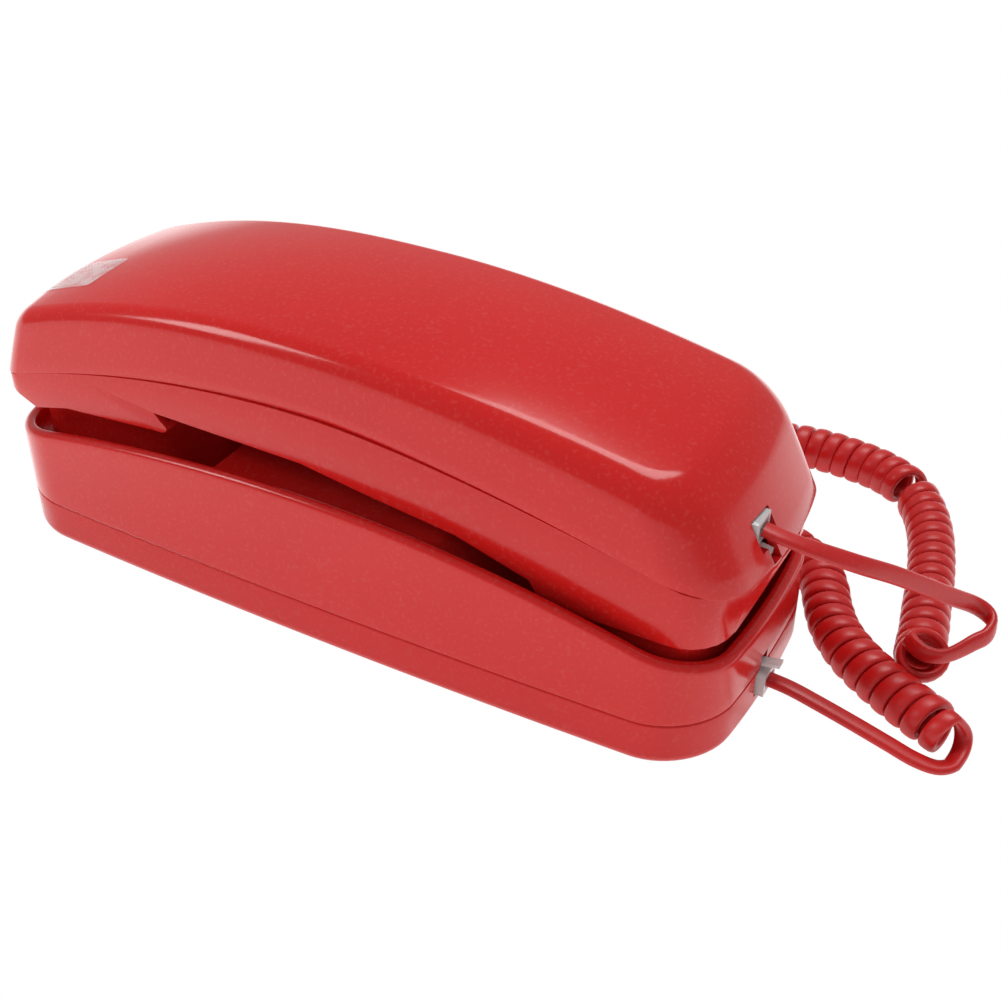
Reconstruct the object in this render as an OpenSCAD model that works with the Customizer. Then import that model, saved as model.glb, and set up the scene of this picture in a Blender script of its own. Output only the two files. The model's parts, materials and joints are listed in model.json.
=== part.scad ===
// Slimline telephone: a long handset face down on a cradle base, joined by a curly cord.
// X runs from the ear end (-X) to the mouth end (+X), Y across, Z up from the desk.

/* [Base] */
// Length of the base, end to end
base_length = 219; // [200:1:270]
// Width of the base at its middle
base_width = 81; // [74:1:100]
// Radius of the base's corners in plan
base_corner = 17; // [12:1:22]
// Height of the underside above the desk, set by the rubber feet
foot_height = 1; // [0.5:0.5:3]
// Height of the seam between the two base housings
base_seam = 14; // [13:0.5:18]
// Height of the rim at the middle of the base
rim_mid = 47; // [46:0.5:56]
// Fall of the rim from the middle to the ear end
rim_ear_drop = 14; // [10:0.5:15]
// Fall of the rim from the middle to the mouth end
rim_mouth_drop = 18; // [12:0.5:19]
// Thickness of the cradle's rim
rim_width = 3.5; // [3:0.5:5]
// Height of the floor under the ear boss
ear_floor = 28.5; // [27:0.5:30]
// Height of the floor under the mouth end
mouth_floor = 22; // [21:0.5:24]
// Height of the deck between the two floors
deck_height = 41.5; // [40:0.5:43]
// Length of the ear recess, from the ear end of the base
ear_recess = 73; // [70:1:76]
// Length of the mouth recess's flat floor, from the mouth end of the base
mouth_recess = 46; // [40:1:50]
// Wall thickness of all moulded housings
wall = 2.5; // [2:0.1:3]

/* [Handset] */
// How much longer the handset is than the base
handset_extra = 4.5; // [2:0.5:8]
// Gap on each side between the handset and the cradle's rim at the corners
side_gap = 3; // [2:0.5:4]
// Height of the handset's back at its middle
back_mid = 87; // [84:0.5:100]
// Height of the handset's seam at its middle
seam_mid = 67; // [66:0.5:70]
// Rest gap between the handset and the cradle floors
rest_gap = 0.3; // [0.3:0.1:0.6]
// Length of the earpiece boss
boss_length = 62; // [58:1:64]
// Width of the earpiece boss
boss_width = 56; // [48:1:57]
// Travel that lifts the handset clear of the cradle
lift_travel = 60; // [50:1:80]

/* [Keypad] */
// Row pitch of the keys, along the handset
key_pitch_x = 13.5; // [12.5:0.5:14]
// Column pitch of the keys, across the handset
key_pitch_y = 16; // [14:0.5:17]
// Length of a key, along the handset
key_length = 8.5; // [7:0.5:9]
// Width of a key, across the handset
key_width = 11.5; // [9:0.5:12]
// Travel of a key
key_travel = 1.5; // [1:0.1:1.8]
// Clearance round a key in its opening
key_clearance = 0.4; // [0.3:0.1:0.6]

/* [Hook and switches] */
// Travel of the hook plunger
hook_travel = 5; // [4:0.5:6]
// Size of the hook plunger along the base
plunger_length = 8; // [6:0.5:10]
// Size of the hook plunger across the base
plunger_width = 14; // [10:0.5:18]
// Travel of the sliding knobs each way
knob_travel = 3; // [2:0.5:4]
// Spacing of the wall plate's studs
stud_spacing = 82.55; // [80:0.05:85]
// Half width of a keyhole's slot
slot_r = 2.5; // [2:0.1:3]

/* [Cord] */
// Outer diameter of the coiled cord
coil_d = 13; // [12:0.5:13]
// Width of the flat lead
lead_d = 4.6; // [4:0.1:5]
// Width of a modular plug
plug_width = 7.65; // [7:0.05:7.7]
// Height of a modular plug
plug_height = 6.2; // [5.6:0.1:6.4]

/* [Hidden] */
$fn = 48;

red = [0.72, 0.05, 0.07];
dark_red = [0.55, 0.03, 0.05];
clear = [0.85, 0.88, 0.9, 0.5];
board_green = [0.1, 0.35, 0.2];

side_bow = 2.4;            // how far the long sides bulge in plan
end_bow = 3;               // how far the ends bulge in plan
eps = 0.01;                // overrun of a cut past a face
fit = 0.1;                 // gap between pieces fastened together
base_half = base_length / 2;
handset_length = base_length + handset_extra;
handset_half = handset_length / 2;
handset_width = base_width - 2 * rim_width - 2 * side_gap;
handset_corner = 12;
handset_ear_corner = 5.5;
handset_bow = 0.8;
handset_end_bow = 5;
boss_floor = ear_floor + rest_gap;
mouth_bottom = mouth_floor + rest_gap;
rake_ear = 8;              // how far the handset's ear end leans in from seam to back
rake_mouth = 11.5;         // the same at its mouth end
tall = 140;                // taller than the whole phone

// Stations of the cradle, measured from the two ends of the base
step_x = -base_half + ear_recess;
mouth_x = base_half - mouth_recess;
ramp_x = mouth_x - 30;
// Stations of the handset
boss_start = -handset_half + 9.5;
boss_end = boss_start + boss_length;
bulge_start = mouth_x + 2;
face_plate = deck_height + 14;   // underside of the plate that holds the keypad
keypad_x = (boss_end + bulge_start) / 2 + 2;
pad_length = 5 * key_pitch_x;
pad_width = 3 * key_pitch_y + 2;
first_row = keypad_x - 1.5 * key_pitch_x - 5;
row_x = [for (i = [0:4]) first_row + key_pitch_x * i];
card_x = first_row - key_pitch_x;
card_length = 10;
card_width = 44;

hook_x = (-base_half + step_x) / 2 + 2;
board_top = foot_height + wall + 6;
board_start = -base_half + 24;
board_end = mouth_x - 14;
sounder_x = mouth_x + 14;
base_jack_y = -4;
base_jack_z = 10;
handset_jack_y = -8.5;
handset_jack_z = 57;
jack_depth = 12;
jack_wall = 1.6;
plug_proud = 2.5;          // how far a seated plug stands out of its wall
screw_spots = [for (x = [-base_half + 17, base_half - 19], y = [-1, 1]) [x, y * (base_width / 2 - 15)]];
post_r = 3.6;
screw_r = 1.45;
screw_head_r = 2.9;
handset_screw_x = [boss_end + 6, bulge_start - 5];
ear_x = (boss_start + boss_end) / 2;
mic_x = bulge_start + 22;

// ---- outlines ----

function corner_arc(cx, cy, r, start, n) =
    [for (i = [0:n]) [cx + r * cos(start + 90 * i / n), cy + r * sin(start + 90 * i / n)]];

// A rounded rectangle whose sides bulge a little, run anticlockwise from +X. Its corners have radius r
// at the +X end and q at the other
function plan(l, w, r, sb, eb, q = 0) =
    let (e = q > 0 ? q : r, fx = l / 2 - eb - r, bx = l / 2 - eb - e)
    let (fy = w / 2 - sb - r, by = w / 2 - sb - e, n = 6, m = 9)
    concat(
        corner_arc(fx, fy, r, 0, n),
        [for (i = [1:m]) let (t = 1 - 2 * i / (m + 1), x = (fx + bx) / 2 * t + (fx - bx) / 2)
            [x, w / 2 - sb + sb * (1 - t * t)]],
        corner_arc(-bx, by, e, 90, n),
        [for (i = [1:m]) let (t = 1 - 2 * i / (m + 1)) [-bx - e - eb * (1 - t * t), by * t]],
        corner_arc(-bx, -by, e, 180, n),
        [for (i = [1:m]) let (t = 2 * i / (m + 1) - 1, x = (fx + bx) / 2 * t + (fx - bx) / 2)
            [x, -w / 2 + sb - sb * (1 - t * t)]],
        corner_arc(fx, -fy, r, 270, n),
        [for (i = [1:m]) let (t = 2 * i / (m + 1) - 1) [fx + r + eb * (1 - t * t), fy * t]]);

// The base's outline and the handset's, moved in by an inset
module base_plan(inset = 0) {
    polygon(plan(base_length - 2 * inset, base_width - 2 * inset, base_corner - inset, side_bow, end_bow));
}

module handset_plan(inset = 0) {
    polygon(plan(handset_length - 2 * inset, handset_width - 2 * inset, handset_corner - inset,
        handset_bow, handset_end_bow, handset_ear_corner - inset));
}

// A side view in X and Z, carried across the phone
module side_prism(points, width = 200) {
    rotate([90, 0, 0])
        linear_extrude(width, center = true)
            polygon(points);
}

module block(x0, x1, y0, y1, z0, z1) {
    translate([x0, y0, z0]) cube([x1 - x0, y1 - y0, z1 - z0]);
}

// A block centred on a point, with its size along each axis
module centred(at, size) {
    translate(at) cube(size, center = true);
}

// ---- heights along the phone ----

function rim_z(x) = rim_mid - (x < 0 ? rim_ear_drop : rim_mouth_drop) * pow(abs(x) / base_half, 2);

function seam_z(x) = seam_mid - 18 * pow(abs(x) / (handset_half - 6), x < 0 ? 2 : 1.6);

function back_z(x) = back_mid - (x < 0 ? 19 : 14.5) * pow(abs(x) / (handset_half - 6), x < 0 ? 2.5 : 1.9);

function stations(from, to, n) = [for (i = [0:n]) from + (to - from) * i / n];

// The cradle's floors and deck, raised or lowered by a shift
function deck_line(shift, side) = [
    [-tall, ear_floor + shift], [step_x - side, ear_floor + shift], [step_x + 2 - side, deck_height + shift],
    [ramp_x + side, deck_height + shift], [mouth_x + side, mouth_floor + shift], [tall, mouth_floor + shift]];

// The lower edge of the handset's face shell, raised by a shift and moved in by a side
function face_line(shift, side) = [
    [-handset_half + 0.4 + side, seam_z(-handset_half + 6) + shift - 0.6],
    [-handset_half + 16 + side, 41.5 + shift], [-handset_half + 28, 44.8 + shift],
    [boss_end - 12, 47.8 + shift], [boss_end - 9.5, 47.8 + shift], [boss_end - 8, 48.6 + shift],
    [boss_end - 7.8, 49.8 + shift], [boss_end - 9.5, 51.2 + shift], [boss_end - 11.5, 53.3 + shift],
    [-5, 53 + shift], [12, 50.5 + shift], [ramp_x + 6, 47 + shift],
    [bulge_start - 6 + side, 41 + shift], [bulge_start + 6 + side, mouth_bottom + shift],
    [handset_half - 11 - side, mouth_bottom + shift], [handset_half - 7 - side, mouth_bottom + 7 + shift],
    [handset_half - side, seam_z(handset_half - 6) + shift]];

// ---- base ----

module base_lower_housing() color(red) {
    difference() {
        translate([0, 0, foot_height]) linear_extrude(base_seam - foot_height) base_plan();
        translate([0, 0, foot_height + wall]) linear_extrude(base_seam) base_plan(wall);
        for (p = screw_spots) {
            translate([p[0], p[1], foot_height - eps]) cylinder(r = screw_r + 0.25, h = wall + 1);
            translate([p[0], p[1], foot_height - eps]) cylinder(r = screw_head_r + 0.3, h = 1.6);
        }
        for (p = screw_spots)
            translate([p[0] * 0.84, p[1], foot_height - eps]) cylinder(r = 5.2, h = 1 + eps);
        for (x = [-stud_spacing / 2, stud_spacing / 2]) {
            block(x - 5, x + 5, -slot_r, slot_r, foot_height - eps, foot_height + wall + eps);
            for (dx = [-5, 5])
                translate([x + dx, 0, foot_height - eps]) cylinder(r = slot_r, h = wall + 2 * eps);
        }
        base_jack_opening();
        line_jack_opening();
    }
    // Standoffs that carry the circuit board
    for (x = [board_start + 5, board_end - 5], y = [-24, 24])
        translate([x, y, foot_height + wall - eps]) cylinder(r = 3, h = board_top - 1.6 - foot_height - wall);
    // Rails that hold the two jacks
    for (y = [-1, 1])
        block(base_half - 16, base_half - wall - 2, base_jack_y + y * 7.6 - 0.8, base_jack_y + y * 7.6 + 0.8,
            foot_height + wall - eps, base_seam - 2);
}

// A plug's opening in a wall, with a notch on one side for its latch
module plug_opening(x, y, z, up) {
    centred([x, y, z], [14, plug_width + 1.2, plug_height + 1.2]);
    centred([x, y, z + up * 4], [14, 3.8, 7]);
}

module base_jack_opening() {
    plug_opening(base_half, base_jack_y, base_jack_z, 1);
}

module line_jack_opening() {
    centred([-base_half, 0, base_jack_z], [14, 10.8, 8.6]);
}

module base_upper_housing() color(red) {
    difference() {
        intersection() {
            translate([0, 0, base_seam + fit]) linear_extrude(tall) base_plan();
            side_prism(concat(
                [for (x = stations(-base_half - 5, base_half + 5, 32)) [x, rim_z(x)]],
                [[base_half + 5, 0], [-base_half - 5, 0]]));
        }
        // The cradle, open to the top
        intersection() {
            translate([0, 0, base_seam]) linear_extrude(tall) base_plan(rim_width);
            side_prism(concat(deck_line(0, 0), [[tall, tall], [-tall, tall]]));
        }
        // The hollow under the deck
        intersection() {
            linear_extrude(tall) base_plan(wall);
            side_prism(concat(deck_line(-wall, wall), [[tall, -1], [-tall, -1]]));
        }
        centred([hook_x, 0, ear_floor], [plunger_length + 0.8, plunger_width + 0.8, 3 * wall]);
        centred([tab_x, 0, ear_floor], [3.4, 16.8, 3 * wall]);
        centred([ringer_x, base_width / 2, ringer_z], [ringer_slot, 8, 4]);
        base_jack_opening();
        line_jack_opening();
    }
    // Posts for the base screws
    for (p = screw_spots)
        difference() {
            translate([p[0], p[1], foot_height + wall + fit])
                cylinder(r = post_r, h = (p[0] < 0 ? ear_floor : mouth_floor) - wall - foot_height - wall);
            translate([p[0], p[1], foot_height + wall]) cylinder(r = screw_r + 0.05, h = 11);
        }
}

module rubber_feet() color([0.12, 0.12, 0.13]) {
    for (p = screw_spots)
        translate([p[0] * 0.84, p[1], 0]) cylinder(r = 5, h = foot_height + 0.9);
}

module base_screws() color([0.7, 0.7, 0.72]) {
    for (p = screw_spots) {
        difference() {
            translate([p[0], p[1], foot_height + 0.1]) cylinder(r = screw_head_r, h = 1.45);
            for (a = [0, 90])
                translate([p[0], p[1], foot_height]) rotate(a) centred([0, 0, 0.3], [3.6, 0.9, 1.2]);
        }
        translate([p[0], p[1], foot_height + 1.5]) cylinder(r = screw_r, h = 10);
    }
}

module main_circuit_board() color(board_green) {
    difference() {
        block(board_start, board_end, -28, 28, board_top - 1.6 + fit, board_top);
        for (x = [board_start + 5, board_end - 5], y = [-24, 24])
            translate([x, y, board_top - 3]) cylinder(r = 1.2, h = 5);
    }
    // Line transformer, relay, chips and capacitors
    block(board_end - 34, board_end - 16, -20, 0, board_top - eps, board_top + 13);
    block(board_end - 34, board_end - 22, 8, 20, board_top - eps, board_top + 10);
    for (i = [0:3])
        block(hook_x + 26 + 13 * i, hook_x + 35 + 13 * i, -4, 2, board_top - eps, board_top + 3);
    for (i = [0:5])
        translate([hook_x + 22 + 9 * i, 16 - 4 * (i % 2), board_top - eps]) cylinder(r = 2.6, h = 8);
    for (i = [0:6])
        block(hook_x + 20 + 7 * i, hook_x + 22.4 + 7 * i, -22, -15, board_top - eps, board_top + 2.2);
}

hook_rest = boss_floor - 0.4;      // top of the plunger while the handset presses it
flange_z = ear_floor - wall - hook_travel - 1.8;
spring_foot = board_top + 0.1;

module hook_plunger() color(dark_red) {
    block(hook_x - plunger_length / 2, hook_x + plunger_length / 2, -plunger_width / 2, plunger_width / 2,
        flange_z, hook_rest);
    block(hook_x - plunger_length / 2 - 2, hook_x + plunger_length / 2 + 2, -plunger_width / 2 - 2,
        plunger_width / 2 + 2, flange_z - 1.4, flange_z + eps);
}

// The compressed return spring under the plunger
module hook_spring() color([0.75, 0.75, 0.78]) {
    turns = 4;
    steps = 14;
    wire = 0.6;
    low = spring_foot + wire / 2;
    high = flange_z - 1.4 - wire / 2 - 0.1;
    tube([for (i = [0:turns * steps])
        [hook_x + 3.4 * cos(360 * i / steps), 3.4 * sin(360 * i / steps),
            low + (high - low) * i / (turns * steps)]], wire, 8);
}

module hook_switch() color([0.1, 0.1, 0.11]) {
    block(hook_x - 3, hook_x + 9, plunger_width / 2 + 4, plunger_width / 2 + 10, board_top + fit, board_top + 8);
    block(hook_x - 1, hook_x + 1.5, plunger_width / 2 + 5.5, plunger_width / 2 + 8.5, board_top + 8 - eps,
        board_top + 9);
}

module ringer_sounder() color([0.15, 0.15, 0.16]) {
    translate([sounder_x, 0, foot_height + wall + fit]) difference() {
        cylinder(r = 13, h = 8);
        translate([0, 0, 6]) cylinder(r = 1.5, h = 3);
    }
}

// A jack block with its mouth at x, opening along dir
module jack(x, y, z, dir, w, h, up) {
    difference() {
        centred([x - dir * jack_depth / 2, y, z], [jack_depth, w + 2 * jack_wall, h + 2 * jack_wall]);
        centred([x - dir * (jack_depth - 2) / 2 + dir * eps, y, z], [jack_depth - 2 + 2 * eps, w, h]);
        // Room for the plug's latch
        centred([x - dir * (jack_depth - 4) / 2 + dir * eps, y, z + up * h / 2],
            [jack_depth - 4 + 2 * eps, 3.4, 6]);
    }
    // The row of spring contacts along the side away from the latch
    for (i = [-1.5:1:1.5])
        centred([x - dir * 5.5, y + i * 1.02, z - up * (h / 2 - 0.05)], [8, 0.35, 0.3]);
}

module base_handset_jack() color([0.12, 0.12, 0.13])
    jack(base_half - end_bow / 2 - wall, base_jack_y, base_jack_z, 1, plug_width + 0.5, plug_height + 0.5, 1);

module line_jack() color([0.12, 0.12, 0.13])
    jack(-base_half + end_bow / 2 + wall, 0, base_jack_z, -1, 9.9, plug_height + 0.5, -1);

tab_x = -base_half + 12;

// The tab that the ear boss hangs on when the base is on a wall
module hanger_tab() color(dark_red) {
    block(tab_x - 1.5, tab_x + 1.5, -8.2, 8.2, ear_floor - wall - 2, ear_floor - 0.2);
    block(tab_x - 1.5, tab_x + 1.5, -10.5, 10.5, ear_floor - wall - 3.6, ear_floor - wall - 2 + eps);
}

ringer_x = 24;
ringer_z = 26;
knob_length = 6;
ringer_slot = knob_length + 2 * knob_travel + 1;

module ringer_switch_knob() color([0.1, 0.1, 0.11]) {
    y = base_width / 2;
    block(ringer_x - knob_length / 2, ringer_x + knob_length / 2, y - wall - 1.4, y + 0.9,
        ringer_z - 1.6, ringer_z + 1.6);
    block(ringer_x - knob_length / 2 - 4, ringer_x + knob_length / 2 + 4, y - wall - 2.6, y - wall - 0.4,
        ringer_z - 3.4, ringer_z + 3.4);
}

// ---- handset ----

module handset_back_shell() color(red) {
    n = 36;
    low = handset_half - 0.2;
    difference() {
        intersection() {
            linear_extrude(tall) handset_plan();
            side_prism(concat(
                [for (x = stations(-low, low, n)) [x, seam_z(min(abs(x), handset_half - 6) * sign(x)) + fit]],
                [for (x = stations(low - rake_mouth, rake_ear - low, n)) [x, back_z(x)]]));
        }
        intersection() {
            linear_extrude(tall) handset_plan(wall);
            side_prism(concat(
                [[-low + wall, 30], [low - wall, 30]],
                [for (x = stations(low - rake_mouth - wall, rake_ear + wall - low, n)) [x, back_z(x) - wall]]));
        }
        handset_jack_opening();
    }
    for (x = handset_screw_x)
        difference() {
            translate([x, 0, face_plate + wall + fit])
                cylinder(r = post_r, h = back_z(x) - face_plate - 1.5 * wall);
            translate([x, 0, face_plate + wall]) cylinder(r = screw_r + 0.05, h = 11);
        }
}

module handset_jack_opening() {
    plug_opening(handset_half - 5.5, handset_jack_y, handset_jack_z, -1);
}

volume_x = ear_x;
volume_z = 53.5;
volume_y = handset_width / 2;

module handset_face_shell() color(red) {
    n = 36;
    low = handset_half - 0.2;
    seam_line = [for (x = stations(low, -low, n)) [x, seam_z(min(abs(x), handset_half - 6) * sign(x))]];
    difference() {
        union() {
            difference() {
                intersection() {
                    linear_extrude(tall) handset_plan();
                    side_prism(concat(face_line(0, 0), seam_line));
                    // Below the rim the mouth end draws in, to sit inside the cradle
                    union() {
                        block(-tall, bulge_start - 14, -tall, tall, 0, tall);
                        block(-tall, tall, -tall, tall, deck_height - 6, tall);
                        linear_extrude(tall) intersection() {
                            handset_plan(2);
                            base_plan(rim_width + 0.8);
                        }
                    }
                }
                intersection() {
                    linear_extrude(tall) handset_plan(wall + 2);
                    side_prism(concat(face_line(wall, wall),
                        [[handset_half - wall, tall], [wall - handset_half, tall]]));
                    // The drawn-in mouth end keeps its wall all the way round
                    union() {
                        block(-tall, bulge_start - 14, -tall, tall, 0, tall);
                        linear_extrude(tall) base_plan(rim_width + 0.8 + wall);
                    }
                }
                intersection() {
                    linear_extrude(tall) handset_plan(wall);
                    block(-tall, tall, -tall, tall, deck_height + 8, tall);
                    side_prism(concat(face_line(wall, wall),
                        [[handset_half - wall, tall], [wall - handset_half, tall]]));
                }
                // The sunk face round the keypad
                block(boss_end - 4, ramp_x + 9, -volume_y + wall, volume_y - wall, 0, face_plate);
            }
            // Plate that the keypad sits on
            block(boss_end - 4 - wall, ramp_x + 9 + wall, -volume_y + wall - 0.5, volume_y - wall + 0.5,
                face_plate, face_plate + wall);
            boss(0, boss_floor, 54);
        }
        boss(wall, boss_floor + wall, 50);
        block(ramp_x + 9, ramp_x + 9 + wall, -1, 1, face_plate - 1, face_plate);
        for (i = [0:4], j = [-1:1])
            key_opening(row_x[i], j * key_pitch_y, face_plate - 1, face_plate + wall + 1);
        for (x = handset_screw_x)
            translate([x, 0, face_plate - 1]) cylinder(r = screw_r + 0.25, h = wall + 2);
        sound_holes(ear_x, boss_floor, 3, 4);
        sound_holes(mic_x, mouth_bottom, 2, 3);
        centred([volume_x, volume_y, volume_z], [ringer_slot, 8, 4]);
        handset_jack_opening();
    }
}

module key_opening(x, y, z0, z1) {
    block(x - key_length / 2 - key_clearance, x + key_length / 2 + key_clearance,
        y - key_width / 2 - key_clearance, y + key_width / 2 + key_clearance, z0, z1);
}

// The raised earpiece boss, from its floor up to a height
module boss(inset, floor_z, top) {
    translate([ear_x, 0, floor_z])
        linear_extrude(top - floor_z)
            polygon(plan(boss_length - 2 * inset, boss_width - 2 * inset, 20 - inset, 0.5, 1, 6 - inset));
}

module sound_holes(x, z, rings, pitch) {
    translate([x, 0, z - 1]) cylinder(r = 1, h = wall + 2, $fn = 16);
    for (r = [1:rings], i = [0:6 * r - 1])
        translate([x + pitch * r * cos(60 * i / r), pitch * r * sin(60 * i / r), z - 1])
            cylinder(r = 1, h = wall + 2, $fn = 16);
}

module receiver_capsule() color([0.2, 0.2, 0.22]) {
    z = boss_floor + wall + 2.2;
    translate([ear_x, 0, z]) cylinder(r = 19, h = 9);
    translate([ear_x, 0, z + 9 - eps]) cylinder(r = 8, h = 4);
}

module receiver_gasket() color([0.3, 0.3, 0.32]) {
    translate([ear_x, 0, boss_floor + wall + fit]) difference() {
        cylinder(r = 19, h = 2);
        translate([0, 0, -1]) cylinder(r = 14.5, h = 4);
    }
}

module microphone_boot() color([0.08, 0.08, 0.08]) {
    translate([mic_x, 0, mouth_bottom + wall + fit]) difference() {
        cylinder(r = 8, h = 9);
        translate([0, 0, -1]) cylinder(r = 5.1, h = 12);
    }
}

module microphone_capsule() color([0.75, 0.75, 0.77])
    translate([mic_x, 0, mouth_bottom + wall + 2]) cylinder(r = 5.05, h = 6.5);

module keypad_bezel() color([0.1, 0.1, 0.11]) {
    difference() {
        block(row_x[0] - key_pitch_x * 0.55, row_x[4] + key_pitch_x * 0.5, -pad_width / 2, pad_width / 2,
            face_plate - 1.6, face_plate - fit);
        for (i = [0:4], j = [-1:1])
            key_opening(row_x[i], j * key_pitch_y, face_plate - 3, face_plate + 1);
    }
}

mat_z = face_plate + wall + key_travel + 1;

// One key: a cap, and a flange that stops it from falling out
module key(column, row) color([0.93, 0.92, 0.88]) {
    x = row_x[row];
    y = column * key_pitch_y;
    block(x - key_length / 2, x + key_length / 2, y - key_width / 2, y + key_width / 2,
        face_plate - 3.2, mat_z - key_travel - 0.3);
    block(x - key_length / 2 - 1, x + key_length / 2 + 1, y - key_width / 2 - 1, y + key_width / 2 + 1,
        face_plate + wall + 0.3, mat_z - key_travel - 0.3);
}

module key_mat() color([0.35, 0.35, 0.37])
    block(row_x[0] - 6, row_x[4] + 6, -pad_width / 2 + 1, pad_width / 2 - 1, mat_z, mat_z + 1);

module keypad_board() color(board_green)
    block(row_x[0] - 6.5, row_x[4] + 6.5, -pad_width / 2, pad_width / 2, mat_z + 1.1, mat_z + 2.5);

module number_card() color([0.95, 0.95, 0.93])
    block(card_x - card_length / 2, card_x + card_length / 2, -card_width / 2, card_width / 2,
        face_plate - 0.4, face_plate - fit);

module card_window() color(clear) {
    block(card_x - card_length / 2 - 1, card_x + card_length / 2 + 1, -card_width / 2 - 1, card_width / 2 + 1,
        face_plate - 1.4, face_plate - 0.5);
}

module handset_jack() color([0.12, 0.12, 0.13])
    jack(handset_half - 12.5, handset_jack_y, handset_jack_z, 1, plug_width + 0.5, plug_height + 0.5, -1);

module ballast_weight() color([0.5, 0.51, 0.53])
    block(bulge_start + 11, bulge_start + 27, 11, 25, mouth_bottom + wall + fit, mouth_bottom + wall + 14);

module handset_screws() color([0.7, 0.7, 0.72]) {
    for (x = handset_screw_x) {
        translate([x, 0, face_plate - 1.5]) cylinder(r = screw_head_r, h = 1.4);
        translate([x, 0, face_plate - 0.2]) cylinder(r = screw_r, h = 11);
    }
}

film_width = 17;
film_start = -handset_half + rake_ear + 2.5;
film_end = film_start + 19;

// A thin clear film laid on the back of the ear end
module label_film() color(clear) {
    n = 6;
    translate([0, -11, 0])
        side_prism(concat(
            [for (x = stations(film_start, film_end, n)) [x, back_z(x) + 0.35]],
            [for (x = stations(film_end, film_start, n)) [x, back_z(x) + 0.05]]), film_width);
}

module volume_slider() color([0.1, 0.1, 0.11]) {
    y = volume_y;
    block(volume_x - knob_length / 2, volume_x + knob_length / 2, y - wall - 2, y + 0.7,
        volume_z - 1.6, volume_z + 1.6);
    block(volume_x - knob_length / 2 - 4, volume_x + knob_length / 2 + 4, y - wall - 3.2, y - wall - 1,
        volume_z - 2.6, volume_z + 2.6);
}

// ---- cord ----

plug_length = 11;
base_wall_x = base_half - 0.5;
handset_wall_x = handset_half - 7.5;

// A clear modular plug seated along X, its latch above (up = 1) or below (up = -1)
module plug(x, y, z, up) {
    difference() {
        centred([x + plug_proud - plug_length / 2, y, z], [plug_length, plug_width, plug_height]);
        centred([x + plug_proud, y, z], [5, lead_d + 0.6, 3]);
        for (i = [-1.5:1:1.5])
            centred([x + plug_proud - plug_length + 2.5, y + i * 1.02, z - up * plug_height / 2],
                [4, 0.5, 3]);
    }
    // The latch springs up from the nose and leans back over the body
    side = plug_height / 2 * up;
    translate([0, y, 0])
        side_prism([
            [x + plug_proud - plug_length + 0.5, z + side - 0.3 * up],
            [x + plug_proud - plug_length + 2, z + side - 0.3 * up],
            [x + plug_proud + 2.5, z + side + 2.1 * up],
            [x + plug_proud + 2.5, z + side + 3.3 * up],
            [x + plug_proud - 1, z + side + 2.6 * up]], 2.6);
}

module contacts(x, y, z, up) {
    for (i = [-1.5:1:1.5])
        centred([x + plug_proud - plug_length + 2.5, y + i * 1.02, z - up * (plug_height / 2 - 0.8)],
            [3.6, 0.34, 1.3]);
}

module handset_plug() color(clear) plug(handset_wall_x, handset_jack_y, handset_jack_z, -1);
module handset_plug_contacts() color("gold") contacts(handset_wall_x, handset_jack_y, handset_jack_z, -1);
module base_plug() color(clear) plug(base_wall_x, base_jack_y, base_jack_z, 1);
module base_plug_contacts() color("gold") contacts(base_wall_x, base_jack_y, base_jack_z, 1);

// Routes of the cord, from the mouth end round behind the base
handset_lead_route = [
    [handset_wall_x + plug_proud, handset_jack_y, handset_jack_z], [112, -8, 55.8], [119, -5, 53],
    [127, 1.5, 47.8], [134, 10, 41.5], [140.5, 18.5, 34.5], [145.8, 26, 28.3], [150, 31.8, 23.6],
    [153.2, 33, 21.4], [155.4, 31.2, 20.2], [155.2, 27.3, 19], [152.6, 23.4, 18.2]];
base_lead_route = [
    [base_wall_x + plug_proud, base_jack_y, base_jack_z], [117, -4.5, 9.8], [125, -5.1, 8.6], [134, -5.8, 7],
    [143, -6.5, 5.2], [150, -6.8, 3.6], [156, -6, 3], [159, -3.5, 4], [159, -0.5, 6], [156, 1.8, 7]];
coil_route = [
    [156, 1.8, 7], [149, 4.6, 7], [142, 8, 7], [134, 12.5, 7], [126, 18, 7], [119, 25, 7], [113.5, 34, 7],
    [109, 43, 7], [101, 51, 7], [91, 55, 7], [80, 57.5, 7], [70, 62, 7], [62, 69.5, 7], [58, 79, 7],
    [59, 89, 7], [65, 98, 7], [75, 103.5, 7], [86, 105.5, 7], [97, 105, 7], [107, 103, 7], [116, 98, 7],
    [122.5, 90, 7], [127.5, 80, 7], [131.5, 68, 7], [134.5, 56, 7], [137, 44, 7], [138.8, 36, 7],
    [140, 28.5, 7.2], [141.3, 23.2, 9], [142.8, 21, 12.5], [144.2, 21, 16.5]];

function unit(v) = v / norm(v);

function tangent(path, i) =
    let (n = len(path) - 1)
    unit(path[min(i + 1, n)] - path[max(i - 1, 0)]);

// A ring of points square to the path at station i
function ring(path, i, d, sides) =
    let (t = tangent(path, i), s = unit(cross([0, 0, 1], t)), u = cross(t, s))
    [for (k = [0:sides - 1]) path[i] + d / 2 * (cos(360 * k / sides) * s + sin(360 * k / sides) * u)];

module tube(path, d, sides) {
    n = len(path);
    points = [for (i = [0:n - 1]) each ring(path, i, d, sides)];
    walls = [for (i = [0:n - 2], k = [0:sides - 1])
        let (a = i * sides + k, b = i * sides + (k + 1) % sides)
        each [[a, b + sides, b], [a, a + sides, b + sides]]];
    ends = [[for (k = [0:sides - 1]) k], [for (k = [sides - 1:-1:0]) (n - 1) * sides + k]];
    polyhedron(points, concat(walls, ends), convexity = 10);
}

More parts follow.
